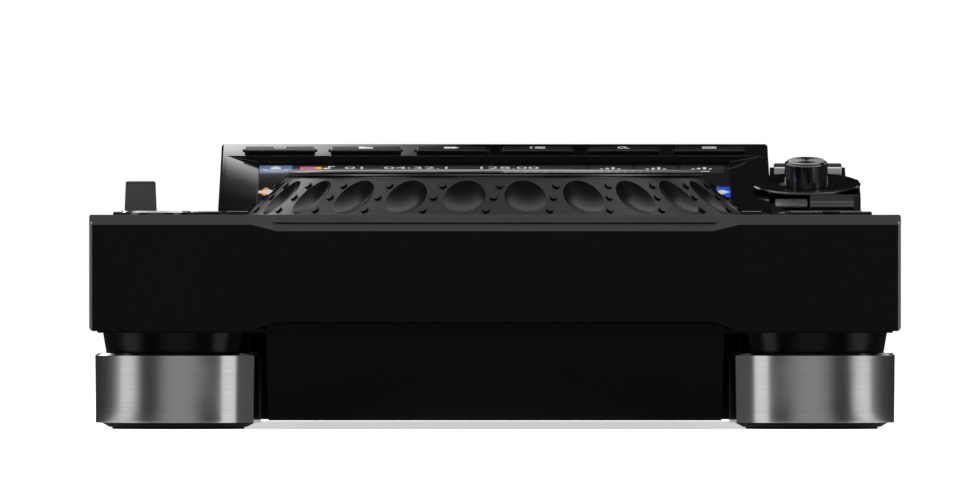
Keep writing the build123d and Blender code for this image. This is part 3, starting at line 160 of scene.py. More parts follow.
def ramp(value, start, end, low=0.0, high=1.0, **settings):
    """Maps start to end onto low to high, and holds the ends."""
    ranged = node(value, "ShaderNodeMapRange", **settings)
    numbers = {"From Min": start, "From Max": end, "To Min": low, "To Max": high}
    for key, number in numbers.items():
        ranged.inputs[key].default_value = number
    link(value, ranged.inputs["Value"])
    return ranged.outputs["Result"]


def own_place(mat):
    """The piece's own coordinates in metres."""
    return node(mat, "ShaderNodeTexCoord").outputs["Object"]


def seen_from(mat, centre, tilt=0.0):
    """The piece's own coordinates, measured from a point and in axes that lean back by a tilt."""
    mapping = node(mat, "ShaderNodeMapping", vector_type="TEXTURE")
    mapping.inputs["Location"].default_value = tuple(centre)
    mapping.inputs["Rotation"].default_value = (tilt, 0, 0)
    link(own_place(mat), mapping.inputs["Vector"])
    return mapping.outputs["Vector"]


def parts_of(vector):
    split = node(vector, "ShaderNodeSeparateXYZ")
    link(vector, split.inputs[0])
    return split.outputs


def radius_of(vector):
    """Distance from the local Z axis."""
    return vector_maths("LENGTH", vector_maths("MULTIPLY", vector, (1, 1, 0)))


def noise(place, scale, detail=4.0):
    """Noise over a place in metres; scale is in bumps a metre."""
    texture = node(place, "ShaderNodeTexNoise")
    texture.inputs["Scale"].default_value = scale
    texture.inputs["Detail"].default_value = detail
    link(place, texture.inputs["Vector"])
    return texture.outputs["Fac"]


def spread(value, low, high):
    """Maps a noise's middle range onto low to high."""
    return ramp(value, 0.3, 0.7, low, high)


def blend_colour(value, first, second):
    mixed = node(value, "ShaderNodeMix", data_type="RGBA")
    mixed.inputs["A"].default_value = (*first, 1)
    mixed.inputs["B"].default_value = (*second, 1)
    link(value, mixed.inputs["Factor"])
    return mixed.outputs["Result"]


def mottled(value, colour, tint):
    """A colour made darker and lighter by a noise; tint is the share either way."""
    darker = [c * (1 - tint) for c in colour]
    lighter = [min(c * (1 + tint), 1) for c in colour]
    return blend_colour(spread(value, 0, 1), darker, lighter)


def bumped(height, distance, normal=None):
    """Normals shaded by a height; distance is in millimetres."""
    bumps = node(height, "ShaderNodeBump")
    bumps.inputs["Distance"].default_value = distance * MM
    link(height, bumps.inputs["Height"])
    if normal:
        link(normal, bumps.inputs["Normal"])
    return bumps.outputs["Normal"]


# ---- Masks: 1 inside a zone and 0 outside ----
def above(value, edge, soft=0.05 * MM):
    return ramp(value, edge - soft, edge + soft)


def below(value, edge, soft=0.05 * MM):
    return maths("SUBTRACT", 1.0, above(value, edge, soft))


def both(first, *others):
    for other in others:
        first = maths("MULTIPLY", first, other)
    return first


def between(value, low, high):
    return both(above(value, low), below(value, high))


def overlay(mat, mask, colour=None, roughness=None, metallic=None):
    """Gives the masked part of a surface another colour, roughness or metalness."""
    changes = {"Base Color": colour, "Roughness": roughness, "Metallic": metallic}
    for name, value in changes.items():
        if value is None:
            continue
        socket = shader_of(mat).inputs[name]
        is_colour = name == "Base Color"
        mixed = node(mat, "ShaderNodeMix", data_type="RGBA" if is_colour else "FLOAT")
        mixed.inputs["B"].default_value = (*value, 1) if is_colour else value
        if socket.is_linked:
            link(socket.links[0].from_socket, mixed.inputs["A"])
        else:
            mixed.inputs["A"].default_value = socket.default_value
        link(mask, mixed.inputs["Factor"])
        link(mixed.outputs["Result"], socket)


# ---- Kinds of finish ----
def principled(name, colour, roughness, metallic=0.0, specular=0.5, anisotropic=0.0):
    mat = bpy.data.materials.new(name)
    mat.use_nodes = True
    inputs = shader_of(mat).inputs
    inputs["Base Color"].default_value = (*colour, 1)
    inputs["Roughness"].default_value = roughness
    inputs["Metallic"].default_value = metallic
    inputs["Specular IOR Level"].default_value = specular
    inputs["Anisotropic"].default_value = anisotropic
    return mat


SMEAR_SCALE = 22.0
GRAIN_TINT = 0.25
EDGE_START, EDGE_FULL = 0.99, 0.8
EDGE_WEAR = 1.6
EDGE_LIFT = 0.004


def textured(
    name, colour, roughness, grain, bump, smear=0.06, edge=0.4, varied=True, **more
):
    """A moulded or painted finish with a fine grain and softened edges.

    grain is in bumps a metre, bump in millimetres, and edge is the softened edge's radius in
    millimetres. varied tints the grain, smears the gloss and makes the edges a little lighter.
    """
    mat = principled(name, colour, roughness, **more)
    inputs = shader_of(mat).inputs
    place = own_place(mat)
    fine = noise(place, grain)
    bevel = node(mat, "ShaderNodeBevel", samples=3)
    bevel.inputs["Radius"].default_value = edge * MM
    if varied:
        smears = spread(noise(place, SMEAR_SCALE), roughness - smear, roughness + smear)
        link(smears, inputs["Roughness"])
        link(mottled(fine, colour, GRAIN_TINT), inputs["Base Color"])
        flat_normal = node(mat, "ShaderNodeNewGeometry").outputs["Normal"]
        alike = vector_maths("DOT_PRODUCT", bevel.outputs["Normal"], flat_normal)
        worn = [min(c * EDGE_WEAR + EDGE_LIFT, 1) for c in colour]
        overlay(mat, ramp(alike, EDGE_START, EDGE_FULL), worn)
    link(bumped(fine, bump, bevel.outputs["Normal"]), inputs["Normal"])
    return mat


TURNED_SMEAR_SCALE = 30.0
TURNED_SMEAR = 0.03
GROOVE_DEPTH = 0.002


def brushed(
    name, colour, roughness, scale, streak, anisotropic, centre=(0, 0, 0), tilt=0.0, radial=None
):
    """Turned metal: fine grooves run round an axis through a centre.

    The axis leans back by a tilt. radial gives the vector away from the axis where there are
    several axes.
    """
    mat = principled(name, colour, roughness, metallic=1.0, anisotropic=anisotropic)
    inputs = shader_of(mat).inputs
    outward = radial(mat) if radial else seen_from(mat, centre, tilt)
    grooves = node(mat, "ShaderNodeCombineXYZ")
    link(radius_of(outward), grooves.inputs[0])
    link(parts_of(outward)[2], grooves.inputs[2])
    lines = noise(grooves.outputs["Vector"], scale, detail=5.0)
    link(mottled(lines, colour, streak), inputs["Base Color"])
    smears = noise(own_place(mat), TURNED_SMEAR_SCALE)
    link(spread(smears, roughness - TURNED_SMEAR, roughness + TURNED_SMEAR), inputs["Roughness"])
    unturned = seen_from(mat, centre) if tilt else outward
    backward_axis = (0, math.sin(tilt), -math.cos(tilt))
    link(vector_maths("CROSS_PRODUCT", unturned, backward_axis), inputs["Tangent"])
    link(bumped(lines, GROOVE_DEPTH), inputs["Normal"])
    return mat


CLOUD_SCALE = 700.0
CLOUD_TINT = 0.06
CAST_SMEAR_SCALE = 40.0


def plain_metal(name, colour, roughness):
    """Smooth or cast metal with a faint cloudiness."""
    mat = principled(name, colour, roughness, metallic=1.0)
    inputs = shader_of(mat).inputs
    place = own_place(mat)
    link(mottled(noise(place, CLOUD_SCALE), colour, CLOUD_TINT), inputs["Base Color"])
    smears = noise(place, CAST_SMEAR_SCALE)
    link(spread(smears, roughness - 0.02, roughness + 0.03), inputs["Roughness"])
    return mat


def feet_outward(mat):
    """Points away from the axis of the nearest foot."""
    place = own_place(mat)
    shifted = vector_maths("SUBTRACT", vector_maths("ABSOLUTE", place), FOOT_SPOT)
    return vector_maths("MULTIPLY", shifted, vector_maths("SIGN", place))


PIXEL = 0.35 * MM
PIXEL_DIM = 0.8
UNLIT_SHARE = 0.3


def lit(name, colour):
    """A glowing patch of a display, with the faint grid of its pixels."""
    mat = principled(name, [c * UNLIT_SHARE for c in colour], 0.5, specular=0.05)
    inputs = shader_of(mat).inputs
    grid = node(mat, "ShaderNodeTexChecker")
    grid.inputs["Scale"].default_value = 1 / PIXEL
    link(own_place(mat), grid.inputs["Vector"])
    dimmer = [c * PIXEL_DIM for c in colour]
    link(blend_colour(grid.outputs["Fac"], colour, dimmer), inputs["Emission Color"])
    inputs["Emission Strength"].default_value = 1.0
    return mat


SMUDGE_SCALE = 60.0


def clear(name, colour, alpha):
    """Thin smoked glass: what lies behind it shows, with reflections on top."""
    mat = principled(name, colour, 0.04, specular=1.0)
    inputs = shader_of(mat).inputs
    inputs["Alpha"].default_value = alpha
    link(spread(noise(own_place(mat), SMUDGE_SCALE), 0.03, 0.07), inputs["Roughness"])
    return mat


# ---- The finishes ----
cabinet_black = textured(
    "cabinet_black", (0.003, 0.003, 0.0031), 0.38, 2600, 0.012, specular=0.11
)
steel_black = textured("steel_black", (0.003, 0.003, 0.0031), 0.36, 1800, 0.01, specular=0.07)
panel_black = textured("panel_black", (0.004, 0.004, 0.0041), 0.4, 1900, 0.01, specular=0.1)
rubber = textured("rubber", (0.003, 0.003, 0.003), 0.75, 1200, 0.03, specular=0.05)
housing_black = textured(
    "housing_black", (0.0035, 0.0035, 0.0037), 0.09, 2200, 0.0004, smear=0.02, specular=0.35
)
cap_black = textured("cap_black", (0.009, 0.009, 0.0093), 0.36, 1700, 0.008, specular=0.25)
cap_gloss = textured(
    "cap_gloss", (0.004, 0.004, 0.0042), 0.3, 700, 0.001, smear=0.03, specular=0.12
)
cap_grey = textured("cap_grey", (0.55, 0.55, 0.555), 0.4, 1700, 0.006, specular=0.4)
pair_grey = textured("pair_grey", (0.5, 0.5, 0.505), 0.4, 1700, 0.006, specular=0.4)
lever_grey = textured("lever_grey", (0.078, 0.078, 0.079), 0.38, 1500, 0.006, specular=0.3)
tempo_grey = textured("tempo_grey", (0.12, 0.12, 0.121), 0.55, 1500, 0.004, specular=0.04)
skirt_black = textured(
    "skirt_black", (0.004, 0.004, 0.0041), 0.3, 1400, 0.006, edge=0.15, varied=False,
    specular=0.05,
)
foot_metal = brushed(
    "foot_metal", (0.62, 0.62, 0.625), 0.2, 2600, 0.05, 0.6, radial=feet_outward
)
crown_metal = brushed(
    "crown_metal", (0.06, 0.06, 0.061), 0.36, 1500, 0.06, 0.4, centre=(0, JOG_Y, 0)
)
knob_metal = brushed(
    "knob_metal", (0.26, 0.26, 0.263), 0.3, 1800, 0.06, 0.9, centre=DISH.origin, tilt=TILT
)
chrome = plain_metal("chrome", (0.14, 0.14, 0.143), 0.14)
dish_gloss = textured(
    "dish_gloss", (0.003, 0.003, 0.0032), 0.1, 500, 0.001, smear=0.02, specular=0.4
)
screw_metal = plain_metal("screw_metal", (0.16, 0.16, 0.16), 0.32)
turned = plain_metal("turned", (0.45, 0.45, 0.46), 0.32)
post_black = textured("post_black", (0.01, 0.01, 0.0102), 0.3, 1500, 0.002, specular=0.4)
laminate = textured("laminate", (0.02, 0.12, 0.05), 0.35, 600, 0.01)
socket_plastic = textured("socket_plastic", (0.01, 0.01, 0.01), 0.4, 1500, 0.01, specular=0.25)
natural = textured("natural", (0.6, 0.58, 0.52), 0.5, 900, 0.01)
glass = clear("glass", (0.002, 0.002, 0.002), 0.35)
mark_white = textured("mark_white", (0.55, 0.55, 0.55), 0.5, 900, 0.0, edge=0.01)
mark_red = textured("mark_red", (0.4, 0.03, 0.02), 0.5, 900, 0.0, edge=0.01)
screen_dark = lit("screen_dark", (0.002, 0.0022, 0.003))
ui_panel = lit("ui_panel", (0.022, 0.022, 0.024))
ui_dark = lit("ui_dark", (0.006, 0.006, 0.007))
ui_white = lit("ui_white", (0.75, 0.75, 0.76))
ui_grey = lit("ui_grey", (0.16, 0.16, 0.17))
ui_slate = lit("ui_slate", (0.13, 0.2, 0.33))
ui_pink = lit("ui_pink", (0.8, 0.12, 0.3))
ui_orange = lit("ui_orange", (0.93, 0.4, 0.04))
ui_blue = lit("ui_blue", (0.01, 0.09, 0.8))
ui_green = lit("ui_green", (0.04, 0.6, 0.12))
ui_red = lit("ui_red", (0.8, 0.03, 0.02))

# ---- Zones: each finish changes where the real piece does; a few zones add painted shade, a painted shadow and a painted highlight ----
# The cabinet's front corners carry a painted highlight: a narrow strip of lighter metal below the
# bevel, where the rounded edge would shine.
CORNER_WIDTH = 1.1 * MM
CORNER_DEPTH = 3.5 * MM
BEVEL_DROP = 3.0 * MM
x, y, z = parts_of(own_place(cabinet_black))
painted_corner_highlight = both(
    above(maths("ABSOLUTE", x), SIDE_X - CORNER_WIDTH),
    below(y, FRONT_Y + CORNER_DEPTH),
    below(z, DECK_Z - BEVEL_DROP),
)
overlay(cabinet_black, painted_corner_highlight, (0.22, 0.22, 0.222), 0.3, 1.0)

# The necks over the feet are smoother than the rest of the chassis.
place = feet_outward(steel_black)
neck = both(below(radius_of(place), NECK_R), above(parts_of(place)[2], RING_TOP_Z))
overlay(steel_black, neck, (0.022, 0.022, 0.022), 0.26, 1.0)

# The jog's top plate: painted shade darkens the groove round its side; a bright lip under it, and
# a dark flat top.
GROOVE_SHADE_START = GROOVE_Z - 0.1 * MM
GROOVE_SHADE_END = GROOVE_Z + 0.55 * MM
LIP_TOP = GROOVE_Z - 0.15 * MM
FLAT_R = CROWN_R - 3.6 * MM
FLAT_Z = PLATE_TOP_Z - 0.05 * MM
place = seen_from(crown_metal, (0, JOG_Y, 0))
height = parts_of(place)[2]
# The groove's near-black colour is painted shade.
overlay(crown_metal, between(height, GROOVE_SHADE_START, GROOVE_SHADE_END), (0.004, 0.004, 0.004), 0.5, 0.0)
overlay(crown_metal, below(height, LIP_TOP), (0.3, 0.3, 0.303), 0.3)
flat_top = both(above(height, FLAT_Z), below(radius_of(place), FLAT_R))
overlay(crown_metal, flat_top, (0.012, 0.012, 0.0125), 0.42, 0.35)

# The display housing is matt in the recess in front of the button strip, and darker there as
# painted shade.
RECESS_DEPTH = 0.4 * MM
RECESS_FRONT = STRIP_START - 1.5 * MM
RECESS_BACK = STRIP_START + 3.0 * MM
x, y, z = parts_of(seen_from(housing_black, FACE.origin, TILT))
recess_shade = both(below(z, -RECESS_DEPTH), between(y, RECESS_FRONT, RECESS_BACK))
overlay(housing_black, recess_shade, (0.002, 0.002, 0.002), 0.7)

# The selector's dish has a metal rim; its knob has a dark side and a darker shoulder.
RIM_WIDTH = 1.0 * MM
RIM_FOOT = 1.7 * MM
SIDE_TOP = KNOB_TOP - 0.12 * MM
SHOULDER_FOOT = KNOB_TOP - 1.05 * MM
place = seen_from(dish_gloss, DISH.origin, TILT)
rim = both(above(radius_of(place), DISH_R - RIM_WIDTH), above(parts_of(place)[2], RIM_FOOT))
overlay(dish_gloss, rim, (0.03, 0.03, 0.031), 0.14, 1.0)
height = parts_of(seen_from(knob_metal, DISH.origin, TILT))[2]
overlay(knob_metal, below(height, SIDE_TOP), (0.16, 0.16, 0.163), 0.14, 1.0)
shoulder = between(height, SHOULDER_FOOT, SIDE_TOP)
overlay(knob_metal, shoulder, (0.012, 0.012, 0.012), 0.12, 1.0)

# The tempo cap has painted shade on its upper part above the ridge line and a painted shadow at
# its foot, and a pale line across its middle.
TEMPO_RIDGE_SHADE_Z = 92.2 * MM
TEMPO_FADE = 0.8 * MM
TEMPO_FOOT_SHADOW_Z = 90.4 * MM
LINE_HALF = 0.6 * MM
height = parts_of(own_place(tempo_grey))[2]
# Painted shade above the ridge line, then a painted shadow below the foot line.
overlay(tempo_grey, above(height, TEMPO_RIDGE_SHADE_Z, TEMPO_FADE), (0.004, 0.004, 0.004), 0.65)
overlay(tempo_grey, below(height, TEMPO_FOOT_SHADOW_Z), (0.003, 0.003, 0.003), 0.3)
depth = parts_of(seen_from(tempo_grey, (TEMPO_X, TEMPO_Y, 0)))[1]
overlay(tempo_grey, below(maths("ABSOLUTE", depth), LINE_HALF), (0.6, 0.6, 0.6), 0.4)

# The lever's top edge is black.
LEVER_EDGE_Z = 100.2 * MM
LEVER_FADE = 0.4 * MM
height = parts_of(own_place(lever_grey))[2]
overlay(lever_grey, above(height, LEVER_EDGE_Z, LEVER_FADE), (0.012, 0.012, 0.012), 0.3)

# The two caps up the slope are grey in front and black on top.
PAIR_FRONT = (PAIR_Y - FACE_FRONT.y) / math.cos(TILT) - PAIR_HALF
PAIR_GREY_DEPTH = 0.5 * MM
up_slope = parts_of(seen_from(pair_grey, FACE.origin, TILT))[1]
overlay(pair_grey, above(up_slope, PAIR_FRONT + PAIR_GREY_DEPTH), (0.012, 0.012, 0.0125), 0.3)

# The sockets: gilt jack barrels, and steel shells for the others and for the port on the deck.
BARREL_R = 4.3 * MM
BARREL_START = 0.6 * MM
SHELLS_HALF = 50.0 * MM
SHELLS_START = -1.0 * MM
PORT_RISE = 10.0 * MM
x, y, z = parts_of(seen_from(socket_plastic, (0, PAN_Y, SOCKET_Z)))
for jack_x in JACKS_X.values():
    aside = maths("ABSOLUTE", maths("ADD", x, -jack_x))
    reach = maths("MAXIMUM", aside, maths("ABSOLUTE", z))
    barrel = both(below(reach, BARREL_R), above(y, BARREL_START))
    overlay(socket_plastic, barrel, (0.72, 0.52, 0.2), 0.22, 1.0)
shells = both(below(maths("ABSOLUTE", x), SHELLS_HALF), above(y, SHELLS_START))
overlay(socket_plastic, shells, (0.5, 0.5, 0.5), 0.3, 1.0)
overlay(socket_plastic, above(z, PORT_RISE), (0.2, 0.2, 0.2), 0.3, 1.0)

# ---- CAD nodes only need their finish ----
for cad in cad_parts.values():
    for face in cad.data.polygons:
        face.use_smooth = True


def paint(mat, *names):
    """Gives CAD nodes a material in their own slots."""
    for name in names:
        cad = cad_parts[name]
        if not cad.material_slots:
            cad.data.materials.append(mat)
        for slot in cad.material_slots:
            slot.material = mat


paint(cabinet_black, "cabinet")
paint(steel_black, "base_chassis")
paint(panel_black, "rear_panel", "tempo_escutcheon")
paint(rubber, "foot_pads")
paint(housing_black, "display_housing", "selector_block")
paint(glass, "display_glass", "jog_lens")
paint(screen_dark, "lcd_modules")
paint(post_black, "jog_post")
paint(turned, "selector_plunger", "power_supply", "tempo_fader")
paint(natural, "jog_bearing")
paint(laminate, "circuit_boards")
paint(socket_plastic, "sockets")
paint(screw_metal, "fasteners")
paint(skirt_black, "jog_wheel")
paint(crown_metal, "jog_top_plate")
paint(foot_metal, "foot_rings")
paint(chrome, "button_rings")
paint(dish_gloss, "selector_dish")
paint(knob_metal, "selector_knob")
paint(lever_grey, "direction_lever")
paint(tempo_grey, "tempo_cap")
paint(cap_black, "jog_adjust_knob", "vinyl_speed_knob")
PAIR_CAPS = ("back_button", "tag_button")
GREY_CAPS = ("filter_button", "shortcut_button")
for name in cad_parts:
    if name in PAIR_CAPS:
        paint(pair_grey, name)
    elif name in GREY_CAPS:
        paint(cap_grey, name)
    elif name.startswith("menu_button"):
        paint(cap_gloss, name)
    elif "_button" in name:
        paint(cap_black, name)


# ---- Outlines, all drawn in millimetres ----
def rectangle(u0, v0, u1, v1):
    return [(u0, v0), (u1, v0), (u1, v1), (u0, v1)]


def circle(u, v, radius, steps=32):
    turns = [2 * math.pi * i / steps for i in range(steps)]
    return [(u + radius * math.cos(a), v + radius * math.sin(a)) for a in turns]


def ring_pieces(u, v, inner, outer, steps=64, start=0.0, end=360.0):
    """A flat ring as a fan of quads."""
    turns = [math.radians(start + (end - start) * i / steps) for i in range(steps + 1)]
    return [
        [
            (u + r * math.cos(turn), v + r * math.sin(turn))
            for r, turn in ((inner, a), (outer, a), (outer, b), (inner, b))
        ]
        for a, b in zip(turns, turns[1:])
    ]


def triangle(u, v, size, way=1):
    """A triangle that points along u."""
    back, front = u - way * size * 0.5, u + way * size * 0.5
    return [(back, v - size * 0.6), (front, v), (back, v + size * 0.6)]


def spoke(u, v, degrees, near, far, half):
    """A short line that points away from (u, v)."""
    c, s = math.cos(math.radians(degrees)), math.sin(math.radians(degrees))
    corners = ((near, -half), (far, -half), (far, half), (near, half))
    return [(u + r * c - w * s, v + r * s + w * c) for r, w in corners]


def band(first, last, middle, reach, pitch=0.5):
    """A waveform mirrored about its middle line; reach gives its half height at each place."""
    places = [first + i * pitch for i in range(int((last - first) / pitch) + 1)]
    heights = [max(reach(u), 0.15) for u in places]
    return [
        [(a, middle - ha), (b, middle - hb), (b, middle + hb), (a, middle + ha)]
        for a, b, ha, hb in zip(places, places[1:], heights, heights[1:])
    ]


# ---- Piece makers; lift and rise are in millimetres ----
def piece(name, mesh, mat, body, matrix=None):
    """A mesh placed in the frame, with its finish, that rides on a CAD body."""
    obj = bpy.data.objects.new(name, mesh)
    bpy.context.scene.collection.objects.link(obj)
    if matrix is not None:
        obj.matrix_world = matrix
    mesh.materials.clear()
    mesh.materials.append(mat)
    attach(obj, body)
    return obj


def mesh_from(name, verts, faces):
    mesh = bpy.data.meshes.new(name)
    mesh.from_pydata([tuple(v) for v in verts], [], faces)
    return mesh


def flat_shapes(name, outlines, mat, body, plane, lift):
    """Printed or lit marks: thin flat outlines just over a plane."""
    verts, faces = [], []
    for outline in outlines:
        first = len(verts)
        verts += [plane.at(u * MM, v * MM, lift * MM) for u, v in outline]
        faces.append(list(range(first, first + len(outline))))
    return piece(name, mesh_from(name, verts, faces), mat, body)


def figures(
    name, text, size, u, v, mat, body="housing", plane=SCREEN, width=0.9, lift=0.06
):
    """Plain figures as a flat mesh with their left end at (u, v); width stretches them across."""
    curve = bpy.data.curves.new(name, "FONT")
    curve.body = text
    curve.size = size * MM
    holder = bpy.data.objects.new(name, curve)
    mesh = bpy.data.meshes.new_from_object(holder)
    bpy.data.objects.remove(holder)
    mesh.transform(Matrix.Diagonal((width, 1, 1, 1)))
    return piece(name, mesh, mat, body, plane.matrix(u * MM, v * MM, lift * MM))


def screen(name, outlines, mat, lift=0.04):
    return flat_shapes(name, outlines, mat, "housing", SCREEN, lift)


def jog_screen(name, outlines, mat, lift=0.04):
    return flat_shapes(name, outlines, mat, "housing", JOG_SCREEN, lift)


def on_cap(name, cap, outlines, mat, plane, spot, rise):
    """Marks on a cap's top; they ride with the cap."""
    moved = [[(u + spot[0], v + spot[1]) for u, v in outline] for outline in outlines]
    return flat_shapes(name, moved, mat, cap + "_cap", plane, rise + 0.03)


def on_deck(name, outlines, mat, rise=0.0):
    return flat_shapes(name, outlines, mat, "housing", DECK, rise + 0.03)


# ---- The large display: title, waveform, figures and overview ----
UI_HALF = 99.2
UI_TOP = 122.9
UI_FOOT = 7.0
TITLE_FOOT = 111.4
OPTIONS_FOOT = 106.4
screen("ui_ground", [rectangle(-UI_HALF, UI_FOOT, UI_HALF, UI_TOP)], screen_dark, 0.02)
screen("ui_title_bar", [rectangle(-85.2, TITLE_FOOT, 39.0, UI_TOP)], ui_panel)
screen("ui_source_box", [rectangle(-UI_HALF, OPTIONS_FOOT, -85.4, UI_TOP)], ui_slate)
stick = [rectangle(-94.4, 114.5, -90.2, 119.5), rectangle(-93.4, 119.5, -91.2, 121.3)]
stick_ring = ring_pieces(-92.3, 116.5, 5.2, 6.2, 18, 200, 340)
screen("ui_source_icon", stick + stick_ring, ui_white, 0.06)
screen("ui_picture", [rectangle(-82.0, 112.4, -75.2, 120.4)], ui_pink, 0.06)
screen("ui_picture_edge", [rectangle(-75.2, 112.4, -73.0, 120.4)], ui_orange, 0.06)
note = [
    rectangle(-70.2, 116.2, -69.4, 121.6),
    rectangle(-70.2, 120.4, -67.4, 121.6),
    circle(-71.0, 116.6, 1.4, 16),
]
screen("ui_note", note, ui_white, 0.06)
option_boxes = [(40.1, 58.0), (59.5, 77.2), (78.6, 96.6)]
boxes = [rectangle(left, OPTIONS_FOOT, right, UI_TOP) for left, right in option_boxes]
screen("ui_option_boxes", boxes, ui_panel)
option_icons = []
for left, right in option_boxes:
    middle = (left + right) / 2
    for i in range(4):
        bar = middle - 4.6 + 2.4 * i
        option_icons.append(rectangle(bar, 114.6, bar + 1.4, 116.4 + 1.4 * (i % 3)))
    option_icons.append(rectangle(middle - 3.0, 109.6, middle + 3.0, 111.2))
screen("ui_option_icons", option_icons, ui_white, 0.06)

TITLE_SIZE = 6.6
TITLE_LINE = 115.8
titles = {"number": ("01", -63.5), "time": ("04:32.1", -47.0), "tempo": ("128.00", -8.0)}
for name, (text, u) in titles.items():
    figures(f"ui_track_{name}", text, TITLE_SIZE, u, TITLE_LINE, ui_white, width=1.5)

# The waveform: at both ends it shows what is seen past the jog in the photo.
WAVE_MIDDLE = 65.4
WAVE_FOOT = 51.0
WAVE_LEFT = -91.5
WAVE_RIGHT = 93.0
BEAT_PITCH = 13.3
BEATS = 60
beats = [random.uniform(0.55, 1.0) for _ in range(BEATS)]


def pulse(u):
    """Height of a beat that rises at once and dies away."""
    whole = (u + UI_HALF) / BEAT_PITCH
    return beats[int(whole) % BEATS] * math.exp(-2.6 * (whole % 1.0))


def outer(u):
    if u > WAVE_RIGHT:
        return 11.0
    if u < WAVE_LEFT:
        return 0.4
    return 2.2 + 8.8 * pulse(u) * random.uniform(0.85, 1.0)


def inner(u):
    if u < WAVE_LEFT:
        return 10.5 * max(1 - abs(u + 96.0) / 3.0, 0.3)
    if u > WAVE_RIGHT:
        return 0.7
    return 1.2 + 6.4 * pulse(u) * random.uniform(0.7, 1.0)


def core(u):
    if u < WAVE_LEFT:
        return 5.2 * max(1 - abs(u + 95.0) / 5.0, 0.4)
    if u > WAVE_RIGHT:
        return max(5.0 * (1 - abs(u - 95.6) / 3.0), 0.4)
    return 0.5 + 3.2 * pulse(u) * random.uniform(0.6, 1.0)


screen("ui_wave_outer", band(-UI_HALF, UI_HALF, WAVE_MIDDLE, outer), ui_blue, 0.04)
screen("ui_wave_inner", band(-UI_HALF, UI_HALF, WAVE_MIDDLE, inner), ui_orange, 0.06)
screen("ui_wave_core", band(-UI_HALF, UI_HALF, WAVE_MIDDLE, core), ui_white, 0.08)
beat_places = [-92.5 + BEAT_PITCH * i for i in range(15)]
beat_lines = [rectangle(u, WAVE_FOOT, u + 0.4, 79.5) for u in beat_places]
screen("ui_beat_lines", beat_lines, ui_grey, 0.05)
cursor = [rectangle(-0.4, 50.0, 0.4, 81.0), [(-2, 83.0), (2, 83.0), (0, 80.5)]]
screen("ui_cursor", cursor, ui_red, 0.1)
CUE_FOOT = 85.0
cue_spots = [(-79, ui_green), (-39, ui_orange), (14, ui_blue), (54, ui_pink)]
for i, (u, mat) in enumerate(cue_spots, 1):
    flag = rectangle(u, CUE_FOOT, u + 5.5, CUE_FOOT + 5.0)
    stem = rectangle(u, WAVE_FOOT, u + 0.4, CUE_FOOT)
    screen(f"ui_cue_{i}", [flag, stem], mat, 0.09)
    figures(f"ui_cue_figure_{i}", str(i), 4.6, u + 1.7, CUE_FOOT + 0.8, ui_dark, lift=0.11)

rules = [rectangle(-UI_HALF, 45.6, UI_HALF, 46.1), rectangle(-UI_HALF, 27.0, UI_HALF, 27.4)]
screen("ui_rule", rules, ui_grey, 0.05)
FIGURE_LINE = 31.5
figures("ui_clock", "04:32.1", 13.0, -94.0, FIGURE_LINE, ui_white)
figures("ui_tempo", "128.0", 13.0, 62.0, FIGURE_LINE, ui_white)
figures("ui_tempo_change", "0.00", 7.0, 42.0, FIGURE_LINE, ui_orange)
meter = [rectangle(-22.0 + 6.0 * i, 32.5, -17.5 + 6.0 * i, 39.0) for i in range(8)]
screen("ui_beat_meter", meter[:5], ui_blue, 0.06)
screen("ui_beat_meter_rest", meter[5:], ui_panel, 0.06)


def overview(u):
    swell = abs(math.sin(u * 0.11) * math.cos(u * 0.043))
    return 1.4 + 4.6 * swell * random.uniform(0.55, 1.0)


def overview_core(u):
    return 0.4 * overview(u)


OVERVIEW_HALF = 94.0
OVERVIEW_MIDDLE = 16.0
for name, reach, mat, lift in (
    ("ui_overview", overview, ui_blue, 0.05),
    ("ui_overview_core", overview_core, ui_white, 0.07),
):
    shapes = band(-OVERVIEW_HALF, OVERVIEW_HALF, OVERVIEW_MIDDLE, reach, 0.8)
    screen(name, shapes, mat, lift)
screen("ui_overview_place", [rectangle(-40.2, 8.4, -39.4, 23.6)], ui_red, 0.09)

# ---- The round display in the jog wheel ----
jog_screen("jog_ui_ground", [circle(0, 0, 35.7, 96)], screen_dark, 0.02)
jog_screen("jog_ui_ring", ring_pieces(0, 0, 32.2, 34.2, 90, 100, 430), ui_white)
jog_screen("jog_ui_marker", [rectangle(-0.9, 26.0, 0.9, 35.0)], ui_red, 0.06)
jog_ticks = []
for i in range(36):
    near, half = (29.0, 0.22) if i % 3 else (27.6, 0.4)
    jog_ticks.append(spoke(0, 0, 10 * i, near, 30.6, half))
jog_screen("jog_ui_ticks", jog_ticks, ui_grey)


def jog_wave(u):
    return 0.4 + 3.4 * abs(math.sin(u * 0.6)) * random.uniform(0.5, 1)


jog_screen("jog_ui_wave", band(-21.0, 21.0, -8.5, jog_wave, 0.6), ui_blue)
figures("jog_ui_time", "04:32", 12.0, -14.5, 2.5, ui_white, plane=JOG_SCREEN)
figures("jog_ui_tempo", "128.0", 6.5, -8.0, -19.5, ui_orange, plane=JOG_SCREEN)

